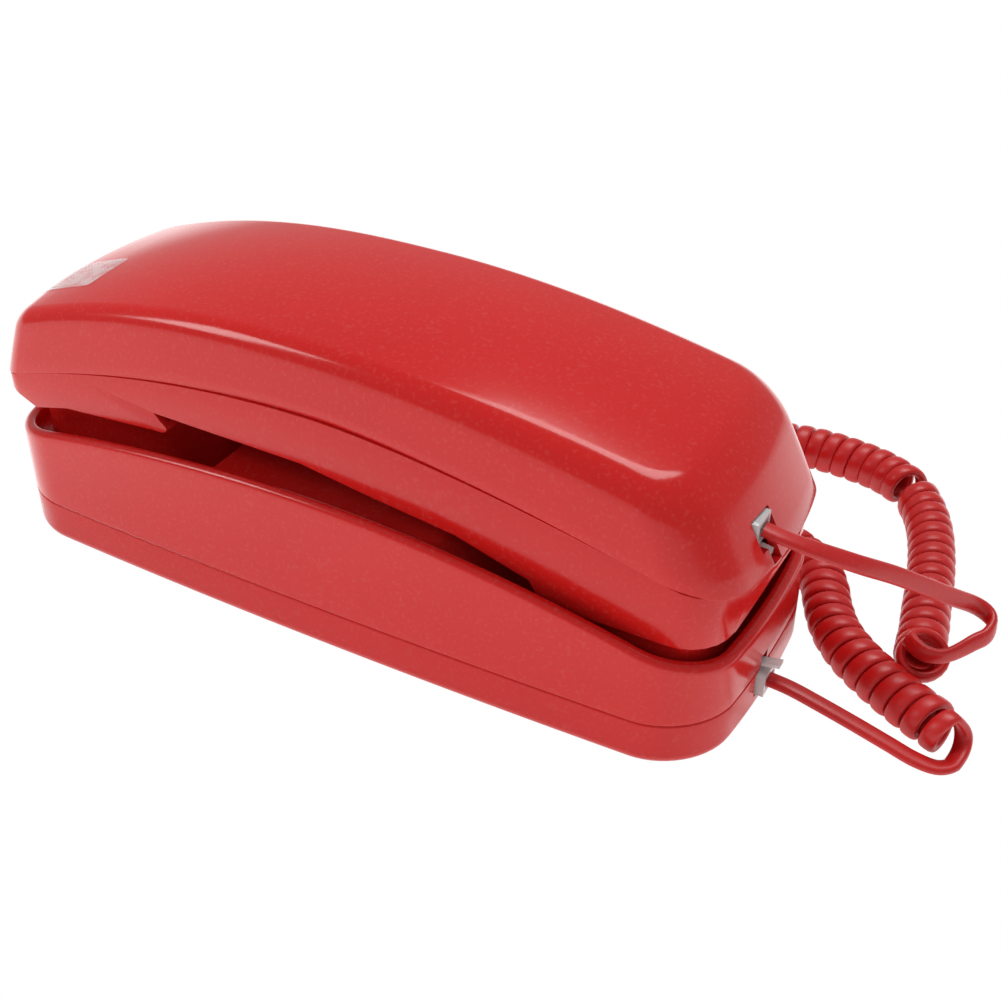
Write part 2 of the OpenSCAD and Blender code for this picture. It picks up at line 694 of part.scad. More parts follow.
module handset_lead() color(red) tube(handset_lead_route, lead_d, 8);
module base_lead() color(red) tube(base_lead_route, lead_d, 8);
module coiled_cord() color(red) tube(coil_route, coil_d, 12);

base_lower_housing();
base_upper_housing();
rubber_feet();
base_screws();
main_circuit_board();
hook_switch();
ringer_sounder();
line_jack();
base_handset_jack();
hanger_tab();
hook_plunger();
hook_spring();
ringer_switch_knob();
handset_back_shell();
handset_face_shell();
receiver_capsule();
receiver_gasket();
microphone_capsule();
microphone_boot();
keypad_bezel();
key_mat();
keypad_board();
number_card();
card_window();
handset_jack();
ballast_weight();
handset_screws();
label_film();
volume_slider();
key(1, 0);  // key_1
key(0, 0);  // key_2
key(-1, 0);  // key_3
key(1, 1);  // key_4
key(0, 1);  // key_5
key(-1, 1);  // key_6
key(1, 2);  // key_7
key(0, 2);  // key_8
key(-1, 2);  // key_9
key(1, 3);  // key_star
key(0, 3);  // key_0
key(-1, 3);  // key_pound
key(1, 4);  // key_flash
key(0, 4);  // key_redial
key(-1, 4);  // key_mute
handset_plug();
handset_plug_contacts();
base_plug();
base_plug_contacts();
handset_lead();
coiled_cord();
base_lead();
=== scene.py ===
import json
import math
import bpy
import bmesh
import numpy as np
from mathutils import Matrix, Vector

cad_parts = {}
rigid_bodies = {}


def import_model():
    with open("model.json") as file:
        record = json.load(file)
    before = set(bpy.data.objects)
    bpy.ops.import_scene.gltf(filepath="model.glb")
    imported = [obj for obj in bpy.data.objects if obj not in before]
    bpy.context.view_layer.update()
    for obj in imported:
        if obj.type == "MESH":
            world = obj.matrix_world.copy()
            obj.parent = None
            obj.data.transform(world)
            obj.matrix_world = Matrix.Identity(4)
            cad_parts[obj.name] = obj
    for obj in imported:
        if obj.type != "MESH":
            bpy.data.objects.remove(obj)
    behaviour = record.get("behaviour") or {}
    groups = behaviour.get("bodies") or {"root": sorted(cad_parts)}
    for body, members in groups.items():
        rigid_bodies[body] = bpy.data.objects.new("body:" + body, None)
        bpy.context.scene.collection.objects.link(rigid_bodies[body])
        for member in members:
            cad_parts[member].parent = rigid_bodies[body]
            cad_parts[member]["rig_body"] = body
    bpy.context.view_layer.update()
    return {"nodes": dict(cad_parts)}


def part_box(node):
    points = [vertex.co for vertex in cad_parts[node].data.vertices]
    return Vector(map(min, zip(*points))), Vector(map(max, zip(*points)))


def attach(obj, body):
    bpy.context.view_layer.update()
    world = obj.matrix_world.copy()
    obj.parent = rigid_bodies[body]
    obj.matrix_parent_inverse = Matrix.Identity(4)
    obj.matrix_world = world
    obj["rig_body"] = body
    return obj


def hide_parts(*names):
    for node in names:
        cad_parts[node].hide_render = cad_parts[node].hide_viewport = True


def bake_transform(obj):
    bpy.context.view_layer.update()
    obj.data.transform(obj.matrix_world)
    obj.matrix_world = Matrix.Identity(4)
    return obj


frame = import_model()
nodes = frame["nodes"]
mm = 0.001

# Small helpers


def clip(v, low, high):
    return np.minimum(np.maximum(v, low), high)


def smoothStep(x, start, end):
    t = clip((x - start) / (end - start), 0.0, 1.0)
    return t * t * (3 - 2 * t)


def newMesh(name, points, faces, smooth=True):
    mesh = bpy.data.meshes.new(name)
    corners = [tuple(float(c) for c in p) for p in points]
    mesh.from_pydata(corners, [], [tuple(int(i) for i in f) for f in faces])
    mesh.update()
    obj = bpy.data.objects.new(name, mesh)
    bpy.context.scene.collection.objects.link(obj)
    if smooth:
        mesh.shade_smooth()
    return obj


def sharpen(obj, degrees=35):
    obj.data.shade_smooth()
    obj.data.set_sharp_from_angle(angle=math.radians(degrees))


def addModifier(obj, kind, **values):
    modifier = obj.modifiers.new(kind.lower(), kind)
    for key, value in values.items():
        setattr(modifier, key, value)


# Turns an object with modifiers into a plain mesh
def bake(obj):
    graph = bpy.context.evaluated_depsgraph_get()
    graph.update()
    mesh = bpy.data.meshes.new_from_object(obj.evaluated_get(graph))
    obj.modifiers.clear()
    obj.data = mesh


def recalcNormals(obj):
    work = bmesh.new()
    work.from_mesh(obj.data)
    bmesh.ops.recalc_face_normals(work, faces=work.faces)
    work.to_mesh(obj.data)
    work.free()


# One object of closed boxes, each given as two corners in millimetres
def cutterBoxes(boxes):
    points, faces = [], []
    for low, high in boxes:
        at = len(points)
        for k in range(8):
            points.append([(high if k >> a & 1 else low)[a] * mm for a in range(3)])
        for f in ((0, 2, 3, 1), (4, 5, 7, 6), (0, 1, 5, 4), (2, 6, 7, 3), (0, 4, 6, 2), (1, 3, 7, 5)):
            faces.append([at + i for i in f])
    return newMesh("cutter", points, faces, smooth=False)


def cut(obj, cutter):
    addModifier(obj, "BOOLEAN", operation="DIFFERENCE", solver="EXACT", object=cutter)
    bake(obj)
    bpy.data.objects.remove(cutter)


# Camera

cameraSetup = {
    "place": (190.6, -278.4, 259.0),
    "azimuth": 29.53,
    "elevation": 35.1,
    "lens": 53.95,
}
azimuth = math.radians(cameraSetup["azimuth"])
elevation = math.radians(cameraSetup["elevation"])
towards = Vector((math.sin(azimuth) * math.cos(elevation), -math.cos(azimuth) * math.cos(elevation),
    math.sin(elevation)))
cameraData = bpy.data.cameras.new("viewCamera")
cameraData.lens = cameraSetup["lens"]
cameraData.sensor_width = 36
cameraData.clip_start = 0.01
camera = bpy.data.objects.new("viewCamera", cameraData)
bpy.context.scene.collection.objects.link(camera)
camera.location = Vector(cameraSetup["place"]) * mm
camera.rotation_mode = "QUATERNION"
camera.rotation_quaternion = (-towards).to_track_quat("-Z", "Y")
bpy.context.scene.camera = camera
print("camera placed")

# Cord

cordSpec = {
    "width": 4.6,
    "thick": 2.4,
    "coilWidth": 13.0,
    "pitch": 4.9,
    "openPitch": 7.5,
    "stepsPerTurn": 22,
    "leadStep": 0.9,
    "startTurn": 0.125,
    "startShare": -1.5,
    "endTurns": 0.8,
    "flipAt": (117.5, 96.5, 7),
    "flipLength": 5.0,
    "joinSteps": 8,
    "upright": (-0.15, 0.2, 0.95),
}
# The route of the cord, as the solids under it have it
handsetLead = [
    (106.75, -8.5, 57), (112, -8, 55.8), (119, -5, 53), (127, 1.5, 47.8), (134, 10, 41.5), (140.5, 18.5, 34.5),
    (145.8, 26, 28.3), (150, 31.8, 23.6), (153.2, 33, 21.4), (155.4, 31.2, 20.2), (155.2, 27.3, 19),
    (152.6, 23.4, 18.2)]
baseLead = [
    (109, -4, 10), (117, -4.5, 9.8), (125, -5.1, 8.6), (134, -5.8, 7), (143, -6.5, 5.2), (150, -6.8, 3.6),
    (155.5, -5.6, 2.6), (158.6, -1.6, 2.5)]
coilRoute = [
    (156, 1.8, 7), (149, 4.6, 7), (142, 8, 7), (134, 12.5, 7), (126, 18, 7), (119, 25, 7), (113.5, 34, 7),
    (109, 43, 7), (101, 51, 7), (91, 55, 7), (80, 57.5, 7), (70, 62, 7), (62, 69.5, 7), (58, 79, 7),
    (59, 89, 7), (65, 98, 7), (75, 103.5, 7), (86, 105.5, 7), (97, 105, 7), (107, 103, 7), (116, 98, 7),
    (122.5, 90, 7), (127.5, 80, 7), (131.5, 68, 7), (134.5, 56, 7), (137, 44, 7), (138.8, 36, 7),
    (140, 28.5, 7.2), (141.3, 23.2, 9), (142.8, 21, 12.5), (144.2, 21, 16.5)]


# A smooth curve through points, sampled about every step
def spline(points, step):
    p = np.array(points, float)
    p = np.vstack([2 * p[0] - p[1], p, 2 * p[-1] - p[-2]])
    made = []
    for i in range(1, len(p) - 2):
        n = max(2, int(np.linalg.norm(p[i + 1] - p[i]) / step * 4))
        for k in range(n):
            t = k / n
            made.append(0.5 * (2 * p[i] + (p[i + 1] - p[i - 1]) * t
                + (2 * p[i - 1] - 5 * p[i] + 4 * p[i + 1] - p[i + 2]) * t * t
                + (3 * p[i] - p[i - 1] - 3 * p[i + 1] + p[i + 2]) * t ** 3))
    made.append(p[-2])
    made = np.array(made)
    along = lengthsAlong(made)
    at = np.linspace(0, along[-1], max(2, int(round(along[-1] / step))) + 1)
    return np.stack([np.interp(at, along, made[:, a]) for a in range(3)], axis=1)


def unit(v):
    return v / np.maximum(np.linalg.norm(v, axis=-1, keepdims=True), 1e-12)


def lengthsAlong(points):
    return np.concatenate([[0], np.cumsum(np.linalg.norm(np.diff(points, axis=0), axis=1))])


# The curly part as points, with the way out from the coil's middle at each. The winding changes hand once
def coilPoints():
    line = spline(coilRoute, 0.4)
    along = lengthsAlong(line)
    tangent = unit(np.gradient(line, axis=0))
    side = np.zeros_like(line)
    side[0] = unit(np.cross((0, 0, 1.0), tangent[0]))
    for i in range(1, len(line)):
        side[i] = unit(side[i - 1] - tangent[i] * (side[i - 1] @ tangent[i]))
    frames = (line, tangent, side, np.cross(tangent, side))
    c = cordSpec
    flipAt = along[np.argmin(np.linalg.norm(line - np.array(c["flipAt"]), axis=1))]
    radius = (c["coilWidth"] - c["thick"]) / 2
    points, outs = [], []
    turn, share = c["startTurn"], c["startShare"]
    while share < along[-1] + c["endTurns"] * c["openPitch"]:
        at = min(max(share, 0.0), along[-1])
        centre, t, s, o = (np.array([np.interp(at, along, v[:, a]) for a in range(3)]) for v in frames)
        t, s, o = unit(t), unit(s), unit(o)
        angle = math.pi + 2 * math.pi * turn
        outs.append(math.sin(angle) * s + math.cos(angle) * o)
        points.append(centre + t * (share - at) + radius * outs[-1])
        loose = max(smoothStep(-share, -8, 0), smoothStep(share, along[-1] - 4, along[-1] + 2))
        hand = float(clip((flipAt - share) / c["flipLength"], -1, 1))
        turn += hand / c["stepsPerTurn"]
        share += (c["pitch"] + (c["openPitch"] - c["pitch"]) * loose) / c["stepsPerTurn"]
    points, outs = np.array(points), np.array(outs)
    # The last turn ends where it heads for the lead
    aim = unit(np.array(handsetLead[-1]) - points[-c["stepsPerTurn"]:])
    going = np.sum(unit(np.diff(points, axis=0))[-c["stepsPerTurn"]:] * aim, axis=1)
    last = len(points) - c["stepsPerTurn"] + int(np.argmax(going))
    return points[:last], outs[:last]


# The flat cord's section, crowned on both faces: (across, through) pairs
def ribbonRing(half, thick, sides=16):
    ring = []
    for k in range(sides):
        a = 2 * math.pi * k / sides
        c, d = math.cos(a), math.sin(a)
        ring.append((half * math.copysign(abs(c) ** 0.72, c), thick * math.copysign(abs(d) ** 0.8, d)))
    return ring


def squareTo(v, tangent):
    return unit(v - tangent * np.sum(v * tangent, axis=1, keepdims=True))


def makeCord():
    coil, coilOut = coilPoints()
    near = spline(baseLead + [tuple(coil[0])], cordSpec["leadStep"])[:-1]
    far = spline([tuple(coil[-1])] + handsetLead[::-1], cordSpec["leadStep"])[1:]
    path = np.vstack([near, coil, far])
    for join in (len(near), len(near) + len(coil)):
        for _ in range(24):
            for i in range(join - cordSpec["joinSteps"], join + cordSpec["joinSteps"]):
                path[i] = path[i] * 0.5 + (path[i - 1] + path[i + 1]) * 0.25
    # The flat side faces outwards in the coil, and turns to each plug's way along its lead
    tangent = unit(np.gradient(path, axis=0))
    coilWide = np.cross(tangent[len(near): len(near) + len(coil)], coilOut)
    plugWide = np.array((0, 1.0, 0))
    upright = unit(np.array(cordSpec["upright"]))
    first = coilWide[0] if coilWide[0] @ plugWide > 0 else -coilWide[0]
    wide = []
    for k in range(len(near)):
        share = smoothStep(k / (len(near) - 1), 0.7, 1.0)
        wide.append(plugWide * (1 - share) + first * share)
    wide += list(coilWide if first @ coilWide[0] > 0 else -coilWide)
    last = wide[-1]
    upright = upright if last @ upright > 0 else -upright
    plugWide = plugWide if upright @ plugWide > 0 else -plugWide
    for k in range(len(far)):
        along = k / (len(far) - 1)
        toLead, toPlug = smoothStep(along, 0.0, 0.12), smoothStep(along, 0.5, 0.97)
        wide.append((last * (1 - toLead) + upright * toLead) * (1 - toPlug) + plugWide * toPlug)
    wide = np.array(wide)
    wide = squareTo(wide, tangent)
    for _ in range(6):
        wide[1:-1] = unit(wide[1:-1] * 2 + wide[:-2] + wide[2:])
    wide = squareTo(wide, tangent)
    through = np.cross(tangent, wide)
    ring = ribbonRing(cordSpec["width"] / 2, cordSpec["thick"] / 2)
    n = len(ring)
    points, faces = [], []
    for i in range(len(path)):
        for a, b in ring:
            points.append((path[i] + wide[i] * a + through[i] * b) * mm)
    for i in range(len(path) - 1):
        for k in range(n):
            m = (k + 1) % n
            faces.append((i * n + k, i * n + m, (i + 1) * n + m, (i + 1) * n + k))
    faces.append(tuple(range(n)))
    faces.append(tuple((len(path) - 1) * n + k for k in reversed(range(n))))
    obj = newMesh("curlyCord", points, faces)
    recalcNormals(obj)
    sharpen(obj, 60)
    return obj, path * mm


curlyCord, cordPath = makeCord()
print("cord made,", round(float(lengthsAlong(cordPath)[-1]), 3), "m long")

# Shell shapes


# A bowed, rounded rectangle as points in order, and how many lie along each side. The ear end's corners
# may have a radius of their own
def outline(halfX, halfY, corner, sideBow, endBow, columns, rows, arc=7, earCorner=None):
    hx, hy = halfX - endBow, halfY - sideBow
    r, q = corner, earCorner or corner

    def arcPoints(cx, cy, size, start, end):
        return [(cx + size * math.cos(math.radians(a)), cy + size * math.sin(math.radians(a)))
            for a in np.linspace(start, end, arc + 1)]

    def endWall(x, size):
        ys = [y for y in rows if abs(y) < hy - r - 0.3]
        ys = [y * (hy - size) / (hy - r) for y in ys]
        low, high = arcPoints(x, -hy + size, size, 315, 360), arcPoints(x, hy - size, size, 0, 45)
        return low + [(x + size, y) for y in ys] + high

    xs = [x for x in columns if -hx + q + 0.3 < x < hx - r - 0.3]
    near = arcPoints(-hx + q, -hy + q, q, 225, 270) + [(x, -hy) for x in xs]
    near += arcPoints(hx - r, -hy + r, r, 270, 315)
    right = endWall(hx - r, r)
    far = [(x, -y) for x, y in near][::-1]
    left = [(-x, y) for x, y in endWall(hx - q, q)][::-1]
    points = np.array(near[:-1] + right[:-1] + far[:-1] + left[:-1])
    x, y = points[:, 0], points[:, 1]
    bowedX = x * (1 + endBow / hx * (1 - (y / hy) ** 2))
    bowedY = y * (1 + sideBow / hy * (1 - (x / hx) ** 2))
    return np.stack([bowedX, bowedY], 1), len(near) - 1, len(right) - 1


def outward(points):
    along = np.roll(points, -1, axis=0) - np.roll(points, 1, axis=0)
    return unit(np.stack([along[:, 1], -along[:, 0]], axis=1))


# Fills a closed ring of 2 * (nx + ny) points with a grid whose middle columns stay straight
def patchPlan(ring, nx, ny):
    near = ring[: nx + 1]
    right = ring[nx: nx + ny + 1]
    far = ring[nx + ny: 2 * nx + ny + 1][::-1]
    left = np.vstack([ring[2 * nx + ny:], ring[:1]])[::-1]
    grid = np.zeros((nx + 1, ny + 1, 2))
    v = (left[:, 1] - left[0, 1]) / (left[-1, 1] - left[0, 1])
    u = (near[:, 0] - near[0, 0]) / (near[-1, 0] - near[0, 0])
    fade = 0.12
    for i in range(nx + 1):
        ruled = near[i] * (1 - v[:, None]) + far[i] * v[:, None]
        lead = max(0.0, 1 - u[i] / fade) ** 2
        tail = max(0.0, 1 - (1 - u[i]) / fade) ** 2
        startRuled = near[0] * (1 - v[:, None]) + far[0] * v[:, None]
        endRuled = near[nx] * (1 - v[:, None]) + far[nx] * v[:, None]
        grid[i] = ruled + lead * (left - startRuled) + tail * (right - endRuled)
    return grid


# Faces of a grid patch whose border is the ring at ringStart and whose middle starts at start
def capFaces(start, ringStart, nx, ny, flip):
    def index(i, j):
        if j == 0:
            return ringStart + i
        if i == nx:
            return ringStart + nx + j
        if j == ny:
            return ringStart + nx + ny + (nx - i)
        if i == 0:
            return ringStart + 2 * nx + ny + (ny - j)
        return start + (i - 1) * (ny - 1) + (j - 1)
    faces = []
    for i in range(nx):
        for j in range(ny):
            f = (index(i, j), index(i + 1, j), index(i + 1, j + 1), index(i, j + 1))
            faces.append(f[::-1] if flip else f)
    return faces


# A closed or open shell from rings of points, with a grid patch on the first and last ring
def stack(rings, nx, ny, lowPatch=None, highPatch=None):
    n = 2 * (nx + ny)
    points = [p for ring in rings for p in ring]
    faces = []
    for r in range(len(rings) - 1):
        for k in range(n):
            m = (k + 1) % n
            faces.append((r * n + k, r * n + m, (r + 1) * n + m, (r + 1) * n + k))
    for patch, ringNumber, flip in ((lowPatch, 0, True), (highPatch, len(rings) - 1, False)):
        if patch is None:
            continue
        grid = patchPlan(np.array([p[:2] for p in rings[ringNumber]]), nx, ny)
        start = len(points)
        for i in range(1, nx):
            for j in range(1, ny):
                x, y = grid[i, j]
                points.append((x, y, float(patch(x, y))))
        faces += capFaces(start, ringNumber * n, nx, ny, flip)
    return points, faces


# Plan points moved inward by inset, each at a height given by a number or a function of x and y
def ringAt(plan, normal, inset, height):
    xy = plan - normal * (inset[:, None] if isinstance(inset, np.ndarray) else inset)
    z = height(xy[:, 0], xy[:, 1]) if callable(height) else np.full(len(xy), float(height))
    return np.column_stack([xy, z])

# Base

baseSpec = {
    "halfLength": 109.5,
    "halfWidth": 40.5,
    "corner": 17.0,
    "sideBow": 2.4,
    "endBow": 3.0,
    "bottom": 1.0,
    "bottomRound": 3.6,
    "seam": 14.0,
    "rimMiddle": 47.0,
    "rimDropEar": 14.0,
    "rimDropMouth": 18.0,
    "rimWidth": 3.5,
    "wall": 2.5,
    "earFloor": 28.5,
    "deck": 41.5,
    "mouthFloor": 22.0,
    "stepX": -36.5,
    "rampStart": 33.5,
    "mouthX": 63.5,
    "seamGroove": 0.3,
    "rampEase": 0.06,
    "floorRound": 2.6,
}


def rimHeight(x, y=0):
    x = np.asarray(x, float)
    drop = np.where(x < 0, baseSpec["rimDropEar"], baseSpec["rimDropMouth"])
    return baseSpec["rimMiddle"] - drop * (np.abs(x) / baseSpec["halfLength"]) ** 2


def floorHeight(x, y=0):
    x = np.asarray(x, float)
    b = baseSpec
    up = smoothStep(x, b["stepX"] - 0.2, b["stepX"] + 2.2)
    down = clip((x - b["rampStart"]) / (b["mouthX"] - b["rampStart"]), 0.0, 1.0)
    down = down - b["rampEase"] * np.sin(2 * math.pi * down)
    return b["earFloor"] + (b["deck"] - b["earFloor"]) * up - (b["deck"] - b["mouthFloor"]) * down


def baseColumns():
    b = baseSpec
    steps = list(np.arange(-90, 91, 3.0)) + list(np.arange(b["stepX"] - 1.5, b["stepX"] + 3.5, 0.3))
    steps += [b[turn] + d for turn in ("rampStart", "mouthX") for d in (-1.5, -0.7, 0.7, 1.5)]
    steps = sorted(set(round(float(s), 3) for s in steps))
    kept = [steps[0]]
    for s in steps[1:]:
        if s - kept[-1] > 0.2:
            kept.append(s)
    return kept


def basePlan(columns):
    b = baseSpec
    rows = list(np.arange(-20, 21, 2.5))
    plan, nx, ny = outline(b["halfLength"], b["halfWidth"], b["corner"], b["sideBow"], b["endBow"], columns, rows)
    return plan, outward(plan), nx, ny


# Hollow underside first, then the seam, the outer wall, the rim, the cradle's wall and its floor
def makeBaseUpper():
    b = baseSpec
    plan, normal, nx, ny = basePlan(baseColumns())
    rings = []
    rim, turn, low = b["rimWidth"] / 2, b["floorRound"], b["seam"] + 0.1

    def add(inset, height):
        rings.append(ringAt(plan, normal, inset, height))

    def under(x, y):
        return floorHeight(x, y) - b["wall"]

    add(b["wall"], under)
    add(b["wall"], low)
    add(b["seamGroove"], low)
    add(0.06, low + b["seamGroove"] * 0.8)
    add(0.0, low + b["seamGroove"] * 2)
    for share in (0.25, 0.5, 0.75, 0.93, 1.0):
        add(0.0, lambda x, y, s=share: (low + 0.6) * (1 - s) + (rimHeight(x) - rim) * s)
    for a in range(15, 181, 15):
        add(rim * (1 - math.cos(math.radians(a))),
            lambda x, y, s=math.sin(math.radians(a)): rimHeight(x) - rim + rim * s)
    for share in (0.35, 0.7):
        add(2 * rim + 0.3 * share,
            lambda x, y, s=share: (rimHeight(x) - rim) * (1 - s) + (floorHeight(x) + turn) * s)
    for a in (0, 22, 45, 68, 90):
        add(2 * rim + 0.3 + turn * (1 - math.cos(math.radians(a))),
            lambda x, y, s=math.sin(math.radians(a)): floorHeight(x) + turn * (1 - s))
    points, faces = stack(rings, nx, ny, lowPatch=under, highPatch=floorHeight)
    return newMesh("baseUpper", np.array(points) * mm, faces)


# Rounded lower edge first, then the outer wall, the seam and the inside
def makeBaseLower():
    b = baseSpec
    plan, normal, nx, ny = basePlan(list(np.arange(-90, 91, 4.0)))
    r, top = b["bottomRound"], b["seam"]
    rings = []

    def add(inset, height):
        rings.append(ringAt(plan, normal, inset, height))

    for a in (*range(90, 0, -12), 0):
        add(r * (1 - math.cos(math.radians(a))), b["bottom"] + r * (1 - math.sin(math.radians(a))))
    add(0.0, (b["bottom"] + r + top) / 2)
    add(0.0, top - b["seamGroove"] * 2)
    add(0.06, top - b["seamGroove"] * 0.8)
    add(b["seamGroove"], top)
    add(b["wall"], top)
    add(b["wall"], b["bottom"] + r)
    add(r, b["bottom"] + b["wall"])
    points, faces = stack(rings, nx, ny, lowPatch=lambda x, y: b["bottom"],
        highPatch=lambda x, y: b["bottom"] + b["wall"])
    return newMesh("baseLower", np.array(points) * mm, faces)


baseUpper = makeBaseUpper()
baseLower = makeBaseLower()
print("base shells lofted")

# Handset back

handsetSpec = {
    "halfLength": 111.75,
    "halfWidth": 34.0,
    "corner": 12.0,
    "earCorner": 5.5,
    "sideBow": 0.8,
    "endBow": 5.0,
    "seamMiddle": 67.0,
    "seamDrop": 18.0,
    "crownMiddle": 87.0,
    "crownDropEar": 19.0,
    "crownDropMouth": 14.5,
    "crossCrown": 2.5,
    "edgeRoundEar": 4.0,
    "edgeRoundMiddle": 5.0,
    "edgeRoundMouth": 6.5,
    "rakeEar": 0.38,
    "rakeMouth": 0.5,
    "rakeFrom": 49.0,
    "sideLean": 0.04,
    "sideLeanFrom": 55.0,
    "seamGroove": 0.3,
    "wall": 2.2,
}


def seamHeight(x, y=0):
    h = handsetSpec
    x = np.asarray(x, float)
    reach = clip(np.abs(x) / (h["halfLength"] - 6), 0, 1)
    return h["seamMiddle"] - h["seamDrop"] * np.where(x < 0, reach ** 2, reach ** 1.6)


def crownHeight(x, y):
    h = handsetSpec
    x = np.asarray(x, float)
    reach = np.abs(x) / (h["halfLength"] - 6)
    drop = np.where(x < 0, h["crownDropEar"] * reach ** 2.5, h["crownDropMouth"] * reach ** 1.9)
    return h["crownMiddle"] - drop - h["crossCrown"] * (np.asarray(y, float) / h["halfWidth"]) ** 2


def edgeRound(x):
    h = handsetSpec
    rise = h["edgeRoundMiddle"] - h["edgeRoundEar"]
    return h["edgeRoundEar"] + rise * smoothStep(x, -100, 0) + (
        h["edgeRoundMouth"] - h["edgeRoundMiddle"]) * smoothStep(x, 0, 95)


# How far an end leans in at a height, for a rake
def endLean(z, rake):
    return clip(z - handsetSpec["rakeFrom"], 0, 60) * rake


# Below zero inside the handset's back, above zero outside; all lengths in millimetres
def handsetField(p):
    h = handsetSpec
    x, y, z = p[:, 0], p[:, 1], p[:, 2]
    hx, hy = h["halfLength"] - h["endBow"], h["halfWidth"] - h["sideBow"]
    px = x / (1 + h["endBow"] / hx * (1 - clip(y / hy, -1, 1) ** 2))
    py = y / (1 + h["sideBow"] / hy * (1 - clip(x / hx, -1, 1) ** 2))
    rake = np.where(x < 0, h["rakeEar"], h["rakeMouth"])
    r = np.where(x < 0, h["earCorner"], h["corner"])
    qx = np.abs(px) + endLean(z, rake) - hx + r
    qy = np.abs(py) + h["sideLean"] * clip(z - h["sideLeanFrom"], 0, 60) - hy + r
    side = np.hypot(np.maximum(qx, 0), np.maximum(qy, 0)) + np.minimum(np.maximum(qx, qy), 0) - r
    side = side / np.sqrt(1 + (rake * clip(qx / r, 0, 1)) ** 2)
    slope = crownHeight(x + 0.5, y) - crownHeight(x - 0.5, y)
    top = (z - crownHeight(x, y)) / np.sqrt(1 + slope ** 2)
    edge = edgeRound(x)
    u = np.maximum(edge + side, 0)
    v = np.maximum(edge + top, 0)
    return np.minimum(-edge, np.maximum(side, top)) + np.hypot(u, v)


# Moves points onto the zero of a field. The fixed ones keep to the seam's height
def settle(points, field, fixed, seamZ, rounds=14):
    p = points.copy()
    e = 0.02
    for _ in range(rounds):
        f = field(p)
        g = np.stack([(field(p + d) - field(p - d)) / (2 * e) for d in np.eye(3) * e], axis=1)
        g[fixed, 2] = 0
        size = np.maximum((g ** 2).sum(axis=1), 0.05)
        p -= clip(f / size, -2.5, 2.5)[:, None] * g
        p[fixed, 2] = seamZ(p[fixed, 0])
    return p


def makeHandsetBack():
    h = handsetSpec
    rows = list(np.arange(-22, 23, 1.6))
    columns = list(np.arange(-96, 97, 2.0))
    plan, nx, ny = outline(h["halfLength"], h["halfWidth"], h["corner"], h["sideBow"], h["endBow"], columns, rows,
        earCorner=h["earCorner"])
    n = 2 * (nx + ny)
    x, y = plan[:, 0], plan[:, 1]
    rake = np.where(x < 0, h["rakeEar"], h["rakeMouth"])
    # Rough rings up the wall and over the edge, which settle on the true shape
    rings = []
    edge = edgeRound(x)
    shoulder = crownHeight(x * 0.93, y) - edge
    for share in (0.0, 0.04, 0.3, 0.55, 0.8, 1.0):
        z = seamHeight(x) * (1 - share) + shoulder * share
        rings.append(np.column_stack([x * (1 - endLean(z, rake) / h["halfLength"]), y, z]))
    for a in (16, 32, 48, 62, 76, 90):
        move = edge * (1 - math.cos(math.radians(a)))
        z = shoulder + edge * math.sin(math.radians(a))
        scaleX = 1 - (endLean(z, rake) + move) / h["halfLength"]
        rings.append(np.column_stack([x * scaleX, y * (1 - move / h["halfWidth"]), z]))
    points, faces = stack(rings, nx, ny, highPatch=crownHeight)
    points = np.array(points)
    fixed = np.arange(len(points)) < n
    points = settle(points, handsetField, fixed, lambda x: seamHeight(x) + 0.1)
    # A fine chamfer along the seam
    points[:n, :2] *= (1 - h["seamGroove"] / np.linalg.norm(points[:n, :2], axis=1))[:, None]
    points[n: 2 * n, 2] = seamHeight(points[n: 2 * n, 0]) + 0.55
    points[n: 2 * n, :2] = settle(points[n: 2 * n], handsetField, np.zeros(n, bool), seamHeight)[:, :2]
    # The inner skin lies one wall inside the outer one
    inner = points.copy()
    inner[:, 2] -= h["wall"] * smoothStep(inner[:, 2] - seamHeight(inner[:, 0]), 2, 14)
    inner[:, :2] *= (1 - h["wall"] / np.maximum(np.linalg.norm(inner[:, :2], axis=1), 8.0))[:, None]
    inner = settle(inner, lambda p: handsetField(p) + h["wall"], fixed, lambda x: seamHeight(x) + 0.1)
    count = len(points)
    faces = faces + [tuple(i + count for i in reversed(f)) for f in faces]
    for k in range(n):
        m = (k + 1) % n
        faces.append((m, k, count + k, count + m))
    return newMesh("handsetBack", np.vstack([points, inner]) * mm, faces)


handsetBack = makeHandsetBack()
print("handset back lofted")


# A copy of a frame piece with every hard edge rounded
def roundedCopy(node, name, width, segments=2, angle=32, sharp=40):
    obj = bpy.data.objects.new(name, nodes[node].data.copy())
    bpy.context.scene.collection.objects.link(obj)
    obj.data.materials.clear()
    work = bmesh.new()
    work.from_mesh(obj.data)
    bmesh.ops.remove_doubles(work, verts=work.verts, dist=0.00001)
    bmesh.ops.dissolve_limit(work, angle_limit=math.radians(0.6), verts=work.verts, edges=work.edges)
    work.to_mesh(obj.data)
    work.free()
    if obj.data.has_custom_normals:
        obj.data.attributes.remove(obj.data.attributes["custom_normal"])
    addModifier(obj, "BEVEL", width=width * mm, segments=segments, limit_method="ANGLE",
        angle_limit=math.radians(angle), miter_outer="MITER_ARC", harden_normals=False)
    bake(obj)
    sharpen(obj, sharp)
    return obj


handsetFace = roundedCopy("handset_face_shell", "handsetFace", 0.9, 3)
print("handset face rounded")

